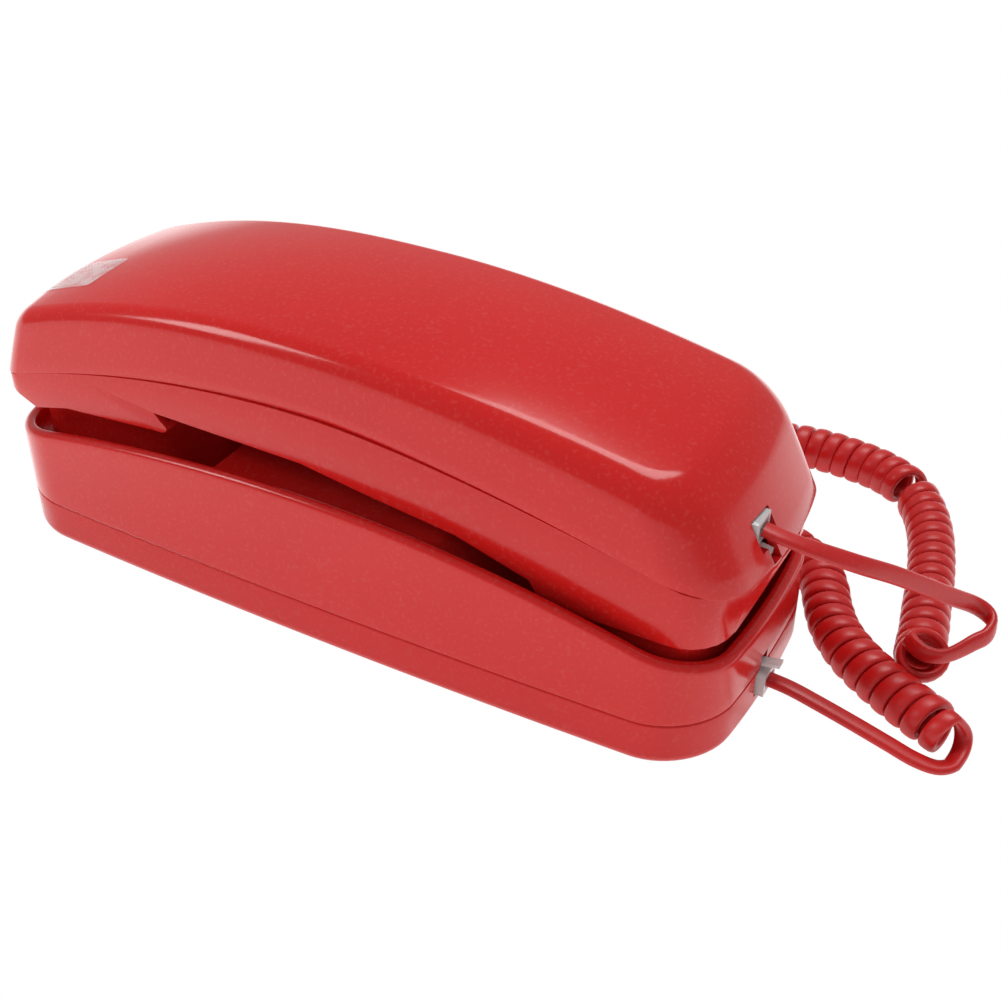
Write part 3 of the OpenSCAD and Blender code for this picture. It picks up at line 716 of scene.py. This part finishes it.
# Openings through the shells, the same sizes as in the frame
openings = {
    "plug": {"reach": 7, "halfWidth": 4.43, "halfHeight": 3.7, "latchHalf": 1.9, "latch": (0.5, 7.5)},
    "basePlug": (109.5, -4.0, 10.0, 1),
    "handsetPlug": (106.25, -8.5, 57.0, -1),
    "lineJack": ((-116.5, -5.4, 5.7), (-102.5, 5.4, 14.3)),
    "plunger": ((-75.4, -7.4, 20.0), (-66.6, 7.4, 34.0)),
    "hangerTab": ((-99.2, -8.4, 20.0), (-95.8, 8.4, 34.0)),
    "ringerSwitch": ((17.5, 36.5, 24.0), (30.5, 44.5, 28.0)),
}


# Cuts a plug's opening and the notch for its latch, which lies above it or below
def cutPlugOpening(shell, x, y, z, up):
    p = openings["plug"]
    notch = sorted(z + up * rise for rise in p["latch"])
    cut(shell, cutterBoxes([((x - p["reach"], y - p["halfWidth"], z - p["halfHeight"]),
        (x + p["reach"], y + p["halfWidth"], z + p["halfHeight"]))]))
    cut(shell, cutterBoxes([((x - p["reach"], y - p["latchHalf"], notch[0]),
        (x + p["reach"], y + p["latchHalf"], notch[1]))]))


for shell in (baseUpper, baseLower):
    cutPlugOpening(shell, *openings["basePlug"])
    cut(shell, cutterBoxes([openings["lineJack"]]))
cutPlugOpening(handsetBack, *openings["handsetPlug"])
cut(baseUpper, cutterBoxes([openings[name] for name in ("plunger", "hangerTab", "ringerSwitch")]))
for shell in (baseUpper, baseLower, handsetBack):
    sharpen(shell, 38)
print("openings cut")

# Shared effects, as node groups


# A socket is linked to the input, and anything else is its constant
def feed(tree, node, inputs):
    for label, value in inputs.items():
        if isinstance(value, bpy.types.NodeSocket):
            tree.links.new(value, node.inputs[label])
        else:
            node.inputs[label].default_value = value


def addNode(tree, kind, inputs=None, **settings):
    node = tree.nodes.new(kind)
    for key, value in settings.items():
        setattr(node, key, value)
    feed(tree, node, inputs or {})
    return node


# A node group, with its input's sockets and its output node
def newGroup(name, kind, inputs, outputs):
    group = bpy.data.node_groups.new(name, kind)
    for label, socket, value in inputs:
        made = group.interface.new_socket(name=label, in_out="INPUT", socket_type="NodeSocket" + socket)
        if value is not None:
            made.default_value = value
    for label, socket in outputs:
        group.interface.new_socket(name=label, in_out="OUTPUT", socket_type="NodeSocket" + socket)
    return group, group.nodes.new("NodeGroupInput").outputs, group.nodes.new("NodeGroupOutput")


def maths(tree, operation, *values):
    return addNode(tree, "ShaderNodeMath", dict(enumerate(values)), operation=operation).outputs[0]


def objectPlace(tree):
    return tree.nodes.new("ShaderNodeTexCoord").outputs["Object"]


def tone(tree, first, second, factor):
    mix = addNode(tree, "ShaderNodeMix", {"A": first, "B": second, "Factor": factor}, data_type="RGBA")
    return next(o for o in mix.outputs if o.type == "RGBA")


def sizeNoise(tree, place, scale, detail=2.0):
    inputs = {"Vector": place, "Scale": scale, "Detail": detail}
    return addNode(tree, "ShaderNodeTexNoise", inputs).outputs["Fac"]


def ranged(tree, value, low, high, fromLow=0.0, fromHigh=1.0):
    inputs = {"Value": value, "From Min": fromLow, "From Max": fromHigh, "To Min": low, "To Max": high}
    return addNode(tree, "ShaderNodeMapRange", inputs).outputs["Result"]


# Slow colour drift with fine pale flecks, and an uneven gloss
def makeMouldedGroup():
    group, start, end = newGroup("mouldedPlastic", "ShaderNodeTree", [
        ("Dark Colour", "Color", (0.1, 0.1, 0.1, 1)), ("Light Colour", "Color", (0.2, 0.2, 0.2, 1)),
        ("Drift Scale", "Float", 20.0), ("Fleck Scale", "Float", 900.0), ("Fleck", "Float", 0.2),
        ("Low Gloss", "Float", 0.2), ("High Gloss", "Float", 0.4), ("Peel Scale", "Float", 260.0)],
        [("Colour", "Color"), ("Roughness", "Float"), ("Height", "Float")])
    place = objectPlace(group)
    drift = sizeNoise(group, place, start["Drift Scale"], 4.0)
    base = tone(group, start["Dark Colour"], start["Light Colour"], drift)
    spots = sizeNoise(group, place, start["Fleck Scale"], 1.0)
    fleck = ranged(group, spots, 0.0, start["Fleck"], 0.55, 0.75)
    feed(group, end, {
        "Colour": tone(group, base, (0.9, 0.5, 0.45, 1), fleck),
        "Roughness": ranged(group, drift, start["Low Gloss"], start["High Gloss"], 0.3, 0.7),
        "Height": sizeNoise(group, place, start["Peel Scale"]),
    })
    return group


# Scattered dust: a mask of small specks, in patches
def makeDustGroup():
    group, start, end = newGroup("dustSpecks", "ShaderNodeTree",
        [("Scale", "Float", 300.0), ("Size", "Float", 0.06)], [("Mask", "Float")])
    place = objectPlace(group)
    dots = addNode(group, "ShaderNodeTexVoronoi", {"Vector": place, "Scale": start["Scale"]})
    specks = maths(group, "LESS_THAN", dots.outputs["Distance"], start["Size"])
    patch = ranged(group, sizeNoise(group, place, 35.0, 3.0), 0.0, 1.0, 0.52, 0.62)
    feed(group, end, {"Mask": maths(group, "MULTIPLY", specks, patch)})
    return group


# Fine lines drawn along one axis, as on turned or brushed metal
def makeBrushedGroup():
    group, start, end = newGroup("brushedMetal", "ShaderNodeTree",
        [("Scale", "Float", 400.0), ("Low Gloss", "Float", 0.2), ("High Gloss", "Float", 0.4)],
        [("Roughness", "Float"), ("Height", "Float")])
    stretch = addNode(group, "ShaderNodeVectorMath", {0: objectPlace(group), 1: (1.0, 0.12, 1.0)},
        operation="MULTIPLY")
    lines = sizeNoise(group, stretch.outputs["Vector"], start["Scale"], 3.0)
    feed(group, end, {"Roughness": ranged(group, lines, start["Low Gloss"], start["High Gloss"]), "Height": lines})
    return group


mouldedGroup = makeMouldedGroup()
dustGroup = makeDustGroup()
brushedGroup = makeBrushedGroup()


def newMaterial(name):
    material = bpy.data.materials.new(name)
    material.use_nodes = True
    return material, material.node_tree, material.node_tree.nodes["Principled BSDF"]


def useGroup(tree, group, **values):
    inputs = {label.replace("_", " "): value for label, value in values.items()}
    return addNode(tree, "ShaderNodeGroup", inputs, node_tree=group).outputs


def addBump(tree, shader, height, strength, distance=0.0004):
    bump = addNode(tree, "ShaderNodeBump", {"Strength": strength, "Distance": distance, "Height": height})
    tree.links.new(bump.outputs["Normal"], shader.inputs["Normal"])


# The colour drifts by spread below the given one, and above it by lift times that
def moulded(name, colour, gloss, spread=0.12, drift=20.0, fleck=0.05, peel=0.02, peelScale=260.0, dust=0.0,
        lift=1.0, glossRange=(0.85, 1.2), **settings):
    material, tree, shader = newMaterial(name)
    mix = useGroup(tree, mouldedGroup, Dark_Colour=(*[c * (1 - spread) for c in colour], 1),
        Light_Colour=(*[min(1.0, c * (1 + spread * lift)) for c in colour], 1), Drift_Scale=drift, Fleck=fleck,
        Low_Gloss=gloss * glossRange[0], High_Gloss=gloss * glossRange[1], Peel_Scale=peelScale)
    colourOut = mix["Colour"]
    if dust:
        specks = useGroup(tree, dustGroup, Scale=420.0, Size=0.05)
        colourOut = tone(tree, colourOut, (0.8, 0.55, 0.5, 1), ranged(tree, specks["Mask"], 0.0, dust))
    feed(tree, shader, {"Base Color": colourOut, "Roughness": mix["Roughness"]})
    feed(tree, shader, {label.replace("_", " "): value for label, value in settings.items()})
    addBump(tree, shader, mix["Height"], peel)
    return material


def metal(name, colour, low, high, scale=400.0, bump=0.05):
    material, tree, shader = newMaterial(name)
    mix = useGroup(tree, brushedGroup, Scale=scale, Low_Gloss=low, High_Gloss=high)
    stain = useGroup(tree, dustGroup, Scale=900.0, Size=0.12)
    stained = (*[c * 0.55 for c in colour], 1)
    feed(tree, shader, {"Base Color": tone(tree, (*colour, 1), stained, stain["Mask"]), "Metallic": 1.0,
        "Roughness": mix["Roughness"]})
    addBump(tree, shader, mix["Height"], bump)
    return material


def clear(name, colour, gloss, see):
    return moulded(name, colour, gloss, spread=0.15, lift=0.0, drift=160.0, fleck=0.0, peelScale=600.0,
        glossRange=(0.6, 1.6), Transmission_Weight=see, IOR=1.49)


# The board's lacquer over a pattern of copper tracks
def boardMaterial():
    material, tree, shader = newMaterial("circuitBoard")
    tracks = addNode(tree, "ShaderNodeTexBrick", {"Vector": objectPlace(tree), "Scale": 60.0,
        "Color1": (0.012, 0.10, 0.035, 1), "Color2": (0.016, 0.14, 0.05, 1), "Mortar": (0.05, 0.22, 0.08, 1),
        "Mortar Size": 0.03})
    specks = useGroup(tree, dustGroup, Scale=350.0, Size=0.22)
    solder = tone(tree, tracks.outputs["Color"], (0.75, 0.72, 0.66, 1), specks["Mask"])
    feed(tree, shader, {"Base Color": solder, "Roughness": 0.35})
    addBump(tree, shader, tracks.outputs["Fac"], 0.3, 0.0001)
    return material


# Ruled card stock: thin lines across it, paper fibre under them
def cardMaterial():
    material, tree, shader = newMaterial("ruledCard")
    place = objectPlace(tree)
    lines = addNode(tree, "ShaderNodeTexWave", {"Scale": 95.0, "Vector": place}, wave_type="BANDS",
        bands_direction="X")
    ink = ranged(tree, lines.outputs["Fac"], 0.0, 0.55, 0.93, 0.98)
    fibre = sizeNoise(tree, place, 1500.0, 3.0)
    paper = tone(tree, (0.82, 0.80, 0.74, 1), (0.90, 0.88, 0.83, 1), fibre)
    feed(tree, shader, {"Base Color": tone(tree, paper, (0.25, 0.3, 0.42, 1), ink), "Roughness": 0.8})
    addBump(tree, shader, fibre, 0.1, 0.0001)
    return material


# A clear film with a faint frosted grid worked into it, worn away in patches
def filmMaterial():
    material, tree, shader = newMaterial("labelFilm")
    place = objectPlace(tree)
    grid = addNode(tree, "ShaderNodeTexBrick", {"Vector": place, "Scale": 420.0, "Mortar Size": 0.06})
    frost = ranged(tree, grid.outputs["Fac"], 0.16, 0.42)
    worn = ranged(tree, sizeNoise(tree, place, 240.0, 3.0), 0.55, 1.0, 0.35, 0.6)
    shade = tone(tree, (0.86, 0.78, 0.78, 1), (0.95, 0.92, 0.92, 1), grid.outputs["Fac"])
    feed(tree, shader, {"Alpha": maths(tree, "MULTIPLY", frost, worn), "Base Color": shade, "Roughness": 0.22})
    addBump(tree, shader, grid.outputs["Fac"], 0.15, 0.0001)
    return material


redShell = moulded("redShell", (0.55, 0.0105, 0.0090), 0.16, spread=0.08, drift=14.0, fleck=0.035, peel=0.02,
    dust=0.09, Specular_IOR_Level=0.32)
redCord = moulded("redCord", (0.50, 0.008, 0.008), 0.36, spread=0.1, drift=60.0, fleck=0.02, peel=0.05,
    peelScale=900.0, dust=0.12, Specular_IOR_Level=0.4)
redTrim = moulded("redTrim", (0.42, 0.01, 0.012), 0.3, peel=0.05)
blackPlastic = moulded("blackPlastic", (0.018, 0.018, 0.02), 0.42, peel=0.12, peelScale=900.0, dust=0.3)
jackPlastic = moulded("jackPlastic", (0.025, 0.024, 0.026), 0.5, peel=0.1, peelScale=700.0)
blackRubber = moulded("blackRubber", (0.02, 0.02, 0.02), 0.75, fleck=0.12, peel=0.35, peelScale=1200.0, dust=0.4)
greyRubber = moulded("greyRubber", (0.16, 0.16, 0.17), 0.7, fleck=0.1, peel=0.3, peelScale=1000.0)
keyPlastic = moulded("keyPlastic", (0.78, 0.74, 0.66), 0.38, spread=0.05, peel=0.08, peelScale=800.0, dust=0.1)
numeralPaint = moulded("numeralPaint", (0.03, 0.03, 0.035), 0.5, peel=0.05)
screwSteel = metal("screwSteel", (0.62, 0.61, 0.58), 0.22, 0.42)
springSteel = metal("springSteel", (0.5, 0.5, 0.5), 0.2, 0.35, 700.0)
capsuleMetal = metal("capsuleMetal", (0.66, 0.66, 0.64), 0.28, 0.5, 250.0)
goldContact = metal("goldContact", (0.95, 0.68, 0.27), 0.12, 0.28, 900.0)
ballastIron = metal("ballastIron", (0.24, 0.23, 0.22), 0.45, 0.7, 180.0, 0.4)
clearPlastic = clear("clearPlastic", (0.93, 0.94, 0.95), 0.08, 0.9)
clearPlug = clear("clearPlug", (1.0, 0.98, 0.97), 0.05, 0.5)
board = boardMaterial()
card = cardMaterial()
film = filmMaterial()
print("materials made")


# What each frame node that stays is finished in
finishes = {
    "hook_spring": springSteel, "main_circuit_board": board, "keypad_board": board, "ringer_sounder": blackPlastic,
    "receiver_capsule": capsuleMetal, "microphone_capsule": capsuleMetal, "receiver_gasket": greyRubber,
    "microphone_boot": blackRubber, "key_mat": greyRubber, "number_card": card, "ballast_weight": ballastIron,
    "handset_plug_contacts": goldContact, "base_plug_contacts": goldContact,
}
for name, material in finishes.items():
    nodes[name].data.materials.clear()
    nodes[name].data.materials.append(material)


# Fits a piece to its body, gives it its material and hides the nodes it stands for
def place(piece, body, slotName, material=None, replaced=()):
    if material is not None:
        piece.data.materials.clear()
        piece.data.materials.append(material)
    if replaced:
        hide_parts(*replaced)
    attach(piece, body)
    return piece


place(baseUpper, "base", "red_housing", redShell, ["base_upper_housing"])
place(baseLower, "base", "red_housing", redShell, ["base_lower_housing"])
place(handsetBack, "handset", "red_housing", redShell, ["handset_back_shell"])
place(handsetFace, "handset", "red_housing", redShell, ["handset_face_shell"])

# Small mouldings, from the frame with their edges rounded
roundedPieces = {
    "rubber_feet": ("black_rubber", blackRubber, 0.35, 2),
    "hook_switch": ("black_plastic", blackPlastic, 0.4, 2),
    "line_jack": ("jack_plastic", jackPlastic, 0.25, 2),
    "base_handset_jack": ("jack_plastic", jackPlastic, 0.25, 2),
    "handset_jack": ("jack_plastic", jackPlastic, 0.25, 2),
    "hanger_tab": ("red_trim", redTrim, 0.6, 3),
    "hook_plunger": ("red_trim", redTrim, 0.9, 3),
    "ringer_switch_knob": ("black_plastic", blackPlastic, 0.3, 2),
    "volume_slider": ("black_plastic", blackPlastic, 0.3, 2),
    "keypad_bezel": ("black_plastic", blackPlastic, 0.35, 2),
    "card_window": ("clear_plastic", clearPlastic, 0.3, 2),
    "handset_plug": ("clear_plug", clearPlug, 0.3, 2),
    "base_plug": ("clear_plug", clearPlug, 0.3, 2),
}
for name, (slotName, material, width, segments) in roundedPieces.items():
    words = name.split("_")
    piece = roundedCopy(name, words[0] + "".join(w.capitalize() for w in words[1:]), width, segments)
    place(piece, nodes[name]["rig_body"], slotName, material, [name])
print("small mouldings rounded")

# Keys: a dished cap each, and its numeral
keySpec = {
    "edge": 0.7,
    "numeralSize": 5.6,
    "numeralRise": 0.12,
    "numeralHalf": 0.15,
    "dish": 0.35,
    "dishRim": 1.2,
    "touchedDepth": 0.4,
    "numerals": {"key_1": "1", "key_2": "2", "key_3": "3", "key_4": "4", "key_5": "5", "key_6": "6", "key_7": "7",
        "key_8": "8", "key_9": "9", "key_star": "*", "key_0": "0", "key_pound": "#"},
    "plain": ("key_flash", "key_redial", "key_mute"),
}


# A key's cap, its touched face sunk a little towards its middle
def dishedCap(name, label):
    cap = roundedCopy(name, label, keySpec["edge"], 3)
    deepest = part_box(name)[0].z + keySpec["touchedDepth"] * mm
    work = bmesh.new()
    work.from_mesh(cap.data)
    bottom = [f for f in work.faces if f.normal.z < -0.9 and f.calc_center_median().z < deepest]
    for face in bottom:
        bmesh.ops.inset_region(work, faces=[face], thickness=keySpec["dishRim"] * mm, depth=0.0)
        bmesh.ops.translate(work, verts=face.verts, vec=(0, 0, keySpec["dish"] * mm))
    work.to_mesh(cap.data)
    work.free()
    sharpen(cap, 40)
    return cap


# A numeral as a thin raised solid, read with the ear end up
def numeral(label, text, x, y, z):
    data = bpy.data.curves.new(label, "FONT")
    data.body = text
    data.size = keySpec["numeralSize"] * mm
    data.align_x = "CENTER"
    data.align_y = "CENTER"
    data.extrude = keySpec["numeralHalf"] * mm
    data.resolution_u = 4
    flat = bpy.data.objects.new(label + "Text", data)
    bpy.context.scene.collection.objects.link(flat)
    bpy.context.view_layer.update()
    mesh = bpy.data.meshes.new_from_object(flat.evaluated_get(bpy.context.evaluated_depsgraph_get()))
    bpy.data.objects.remove(flat)
    turn = Matrix(((0, -1, 0, x), (-1, 0, 0, y), (0, 0, -1, z), (0, 0, 0, 1)))
    mesh.transform(turn)
    obj = bpy.data.objects.new(label, mesh)
    bpy.context.scene.collection.objects.link(obj)
    return obj


for name in list(keySpec["numerals"]) + list(keySpec["plain"]):
    label = "keyCap" + name.split("_")[1].capitalize()
    body = nodes[name]["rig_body"]
    place(dishedCap(name, label), body, "key_plastic", keyPlastic, [name])
    low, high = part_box(name)
    text = keySpec["numerals"].get(name, "-")
    sign = numeral(label.replace("Cap", "Sign"), text, (low.x + high.x) / 2, (low.y + high.y) / 2,
        low.z + (keySpec["dish"] - keySpec["numeralRise"]) * mm)
    place(sign, body, "black_plastic", numeralPaint)
print("keys made")

# Repeated pieces, made by geometry nodes


def runTree(obj, tree, values):
    modifier = obj.modifiers.new("made", "NODES")
    modifier.node_group = tree
    sockets = {item.name: item.identifier for item in tree.interface.items_tree if item.in_out == "INPUT"}
    for label, value in values.items():
        modifier[sockets[label]] = value
    bake(obj)
    sharpen(obj, 35)


# Ends a tree: a copy of the shape on each point, made real, in its material
def onPoints(tree, end, points, shape, material):
    spread = addNode(tree, "GeometryNodeInstanceOnPoints", {"Points": points, "Instance": shape})
    real = addNode(tree, "GeometryNodeRealizeInstances", {"Geometry": spread.outputs["Instances"]})
    painted = addNode(tree, "GeometryNodeSetMaterial", {"Geometry": real.outputs["Geometry"], "Material": material})
    feed(tree, end, {"Geometry": painted.outputs["Geometry"]})


# Cross-slotted pan-head screws, one on each point, heads down
def screwTree():
    tree, start, end = newGroup("crossScrews", "GeometryNodeTree", [("Geometry", "Geometry", None),
        ("Head Radius", "Float", 0.0029), ("Head Height", "Float", 0.00145), ("Shank Radius", "Float", 0.00145),
        ("Shank Length", "Float", 0.01), ("Slot Width", "Float", 0.0009), ("Slot Length", "Float", 0.0036),
        ("Material", "Material", None)], [("Geometry", "Geometry")])

    def rod(sides, radius, length, rise):
        made = addNode(tree, "GeometryNodeMeshCylinder", {"Vertices": sides, "Radius": radius, "Depth": length})
        upward = addNode(tree, "ShaderNodeCombineXYZ", {"Z": rise})
        inputs = {"Geometry": made.outputs["Mesh"], "Translation": upward.outputs[0]}
        return addNode(tree, "GeometryNodeTransform", inputs).outputs["Geometry"]

    height, length = start["Head Height"], start["Shank Length"]
    shank = rod(20, start["Shank Radius"], length, maths(tree, "MULTIPLY_ADD", length, 0.5, height))
    slotted = rod(32, start["Head Radius"], height, maths(tree, "MULTIPLY", height, 0.5))
    for alongX, alongY in (("Slot Length", "Slot Width"), ("Slot Width", "Slot Length")):
        size = addNode(tree, "ShaderNodeCombineXYZ", {"X": start[alongX], "Y": start[alongY], "Z": height})
        bar = addNode(tree, "GeometryNodeMeshCube", {"Size": size.outputs[0]})
        slotted = addNode(tree, "GeometryNodeMeshBoolean", {"Mesh 1": slotted, "Mesh 2": bar.outputs["Mesh"]},
            operation="DIFFERENCE").outputs["Mesh"]
    join = addNode(tree, "GeometryNodeJoinGeometry", {"Geometry": slotted})
    tree.links.new(shank, join.inputs["Geometry"])
    onPoints(tree, end, start["Geometry"], join.outputs["Geometry"], start["Material"])
    return tree


# A row of rounded finger ribs along X
def ribTree():
    tree, start, end = newGroup("fingerRibs", "GeometryNodeTree", [("Geometry", "Geometry", None),
        ("Count", "Int", 5), ("Pitch", "Float", 0.0011), ("Rib Radius", "Float", 0.0003),
        ("Rib Length", "Float", 0.0026), ("Centre", "Vector", (0, 0, 0)), ("Material", "Material", None)],
        [("Geometry", "Geometry")])
    span = maths(tree, "MULTIPLY", maths(tree, "SUBTRACT", start["Count"], 1.0), start["Pitch"])
    half = addNode(tree, "ShaderNodeCombineXYZ", {"X": maths(tree, "MULTIPLY", span, -0.5)})
    first = addNode(tree, "ShaderNodeVectorMath", {0: half.outputs[0], 1: start["Centre"]})
    step = addNode(tree, "ShaderNodeCombineXYZ", {"X": start["Pitch"]})
    row = addNode(tree, "GeometryNodeMeshLine", {"Count": start["Count"],
        "Start Location": first.outputs["Vector"], "Offset": step.outputs[0]})
    rod = addNode(tree, "GeometryNodeMeshCylinder", {"Vertices": 12, "Radius": start["Rib Radius"],
        "Depth": start["Rib Length"]})
    onPoints(tree, end, row.outputs["Mesh"], rod.outputs["Mesh"], start["Material"])
    return tree


screwSpec = {
    "baseSpots": [(x, y) for x in (-92.5, 90.5) for y in (-25.5, 25.5)],
    "baseTop": 1.1,
    "headRadius": 2.9,
    "handsetHead": 1.4,
    "handsetShank": 10.8,
}
crossScrews = screwTree()
baseSpots = [(x * mm, y * mm, screwSpec["baseTop"] * mm) for x, y in screwSpec["baseSpots"]]
baseScrews = newMesh("baseScrews", baseSpots, [], False)
runTree(baseScrews, crossScrews, {"Material": screwSteel})
place(baseScrews, "base", "screw_steel", None, ["base_screws"])
low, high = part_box("handset_screws")
headSize = screwSpec["headRadius"] * mm
handsetSpots = [(low.x + headSize, 0, low.z), (high.x - headSize, 0, low.z)]
handsetScrews = newMesh("handsetScrews", handsetSpots, [], False)
runTree(handsetScrews, crossScrews, {"Head Height": screwSpec["handsetHead"] * mm,
    "Shank Length": screwSpec["handsetShank"] * mm, "Material": screwSteel})
place(handsetScrews, "handset", "screw_steel", None, ["handset_screws"])
fingerRibs = ribTree()
for name, label in (("ringer_switch_knob", "ringerKnobRibs"), ("volume_slider", "volumeSliderRibs")):
    low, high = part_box(name)
    ribs = newMesh(label, [(0, 0, 0)], [], False)
    centre = ((low.x + high.x) / 2, high.y, (low.z + high.z) / 2)
    runTree(ribs, fingerRibs, {"Centre": centre, "Material": blackPlastic})
    place(ribs, nodes[name]["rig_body"], "black_plastic")
print("screws and ribs made")

# The label film, laid on the back of the handset
filmSpec = {
    "x": (-101.2, -82.3),
    "y": (-19.5, -2.5),
    "corner": 1.6,
    "rise": 0.12,
    "thick": 0.1,
    "columns": 26,
    "rows": 22,
}


def makeFilm():
    f = filmSpec
    xs, ys = np.linspace(*f["x"], f["columns"]), np.linspace(*f["y"], f["rows"])
    middle = np.array((sum(f["x"]) / 2, sum(f["y"]) / 2))
    half = np.array((f["x"][1] - f["x"][0], f["y"][1] - f["y"][0])) / 2
    sheet = []
    for x in xs:
        for y in ys:
            d = np.array((x, y)) - middle
            past = np.maximum(np.abs(d) - half + f["corner"], 0)
            size = np.linalg.norm(past)
            if size > f["corner"]:
                d = np.sign(d) * (half - f["corner"] + past / size * f["corner"])
            px, py = middle + d
            sheet.append((px, py, float(crownHeight(px, py))))
    # Both faces of the film, each at its own height over the back
    count = len(sheet)
    points = np.vstack([settle(np.array(sheet), lambda p, up=level: handsetField(p) - up,
        np.zeros(count, bool), seamHeight) for level in (f["rise"], f["rise"] + f["thick"])])
    n = f["rows"]
    faces = []
    for i in range(f["columns"] - 1):
        for j in range(n - 1):
            a, b, c, d = i * n + j, (i + 1) * n + j, (i + 1) * n + j + 1, i * n + j + 1
            faces += [(d, c, b, a), (a + count, b + count, c + count, d + count)]
    edge = [i * n for i in range(f["columns"])] + [(f["columns"] - 1) * n + j for j in range(1, n)]
    edge += [i * n + n - 1 for i in range(f["columns"] - 2, -1, -1)] + [j for j in range(n - 2, 0, -1)]
    for k in range(len(edge)):
        a, b = edge[k], edge[(k + 1) % len(edge)]
        faces.append((a, b, b + count, a + count))
    return newMesh("labelFilm", points * mm, faces)


labelFilm = makeFilm()
recalcNormals(labelFilm)
sharpen(labelFilm, 40)
place(labelFilm, "handset", "clear_film", film, ["label_film"])


curlyCord.data.materials.append(redCord)
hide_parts("handset_lead", "coiled_cord", "base_lead")
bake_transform(curlyCord)
print("cord fitted")

# Floor and light
stageSpec = {
    "floorHalf": 6.0,
    "floorDrop": 0.0002,
    "floorGlow": 0.5,
    "worldGlow": 0.45,
}
floorCorners = [(x * stageSpec["floorHalf"], y * stageSpec["floorHalf"], -stageSpec["floorDrop"])
    for x, y in ((-1, -1), (1, -1), (1, 1), (-1, 1))]
floor = newMesh("floor", floorCorners, [(0, 1, 2, 3)], smooth=False)
floorMaterial, floorTree, floorShader = newMaterial("paleFloor")
feed(floorTree, floorShader, {"Base Color": (0.92, 0.92, 0.92, 1), "Roughness": 0.8, "Specular IOR Level": 0.1,
    "Emission Color": (1, 1, 1, 1), "Emission Strength": stageSpec["floorGlow"]})
floor.data.materials.append(floorMaterial)


# Plain white wherever the camera sees past the phone; the light from there stays soft
def whiteToCamera(tree, soft, whiteKind, output):
    path = tree.nodes.new("ShaderNodeLightPath")
    white = addNode(tree, whiteKind, {"Color": (1, 1, 1, 1), "Strength": 1.0})
    choose = addNode(tree, "ShaderNodeMixShader", {0: path.outputs["Is Camera Ray"], 1: soft.outputs[0],
        2: white.outputs[0]})
    tree.links.new(choose.outputs[0], output.inputs["Surface"])


whiteToCamera(floorTree, floorShader, "ShaderNodeEmission", floorTree.nodes["Material Output"])

world = bpy.data.worlds.new("studio")
bpy.context.scene.world = world
world.use_nodes = True
sky = world.node_tree.nodes["Background"]
feed(world.node_tree, sky, {"Color": (1, 1, 1, 1), "Strength": stageSpec["worldGlow"]})
whiteToCamera(world.node_tree, sky, "ShaderNodeBackground", world.node_tree.nodes["World Output"])


def areaLight(name, at, size, power):
    data = bpy.data.lights.new(name, "AREA")
    data.shape = "RECTANGLE"
    data.size, data.size_y = size
    data.energy = power
    light = bpy.data.objects.new(name, data)
    light.location = at
    light.rotation_mode = "QUATERNION"
    light.rotation_quaternion = (Vector((0, 0, 0.05)) - Vector(at)).to_track_quat("-Z", "Y")
    bpy.context.scene.collection.objects.link(light)


areaLight("topSoft", (0.05, 0.42, 1.1), (0.7, 0.5), 8)
areaLight("leftSoft", (-0.76, -0.62, 0.7), (0.3, 0.42), 3.6)
bpy.context.scene.view_settings.view_transform = "Standard"
print("stage set")
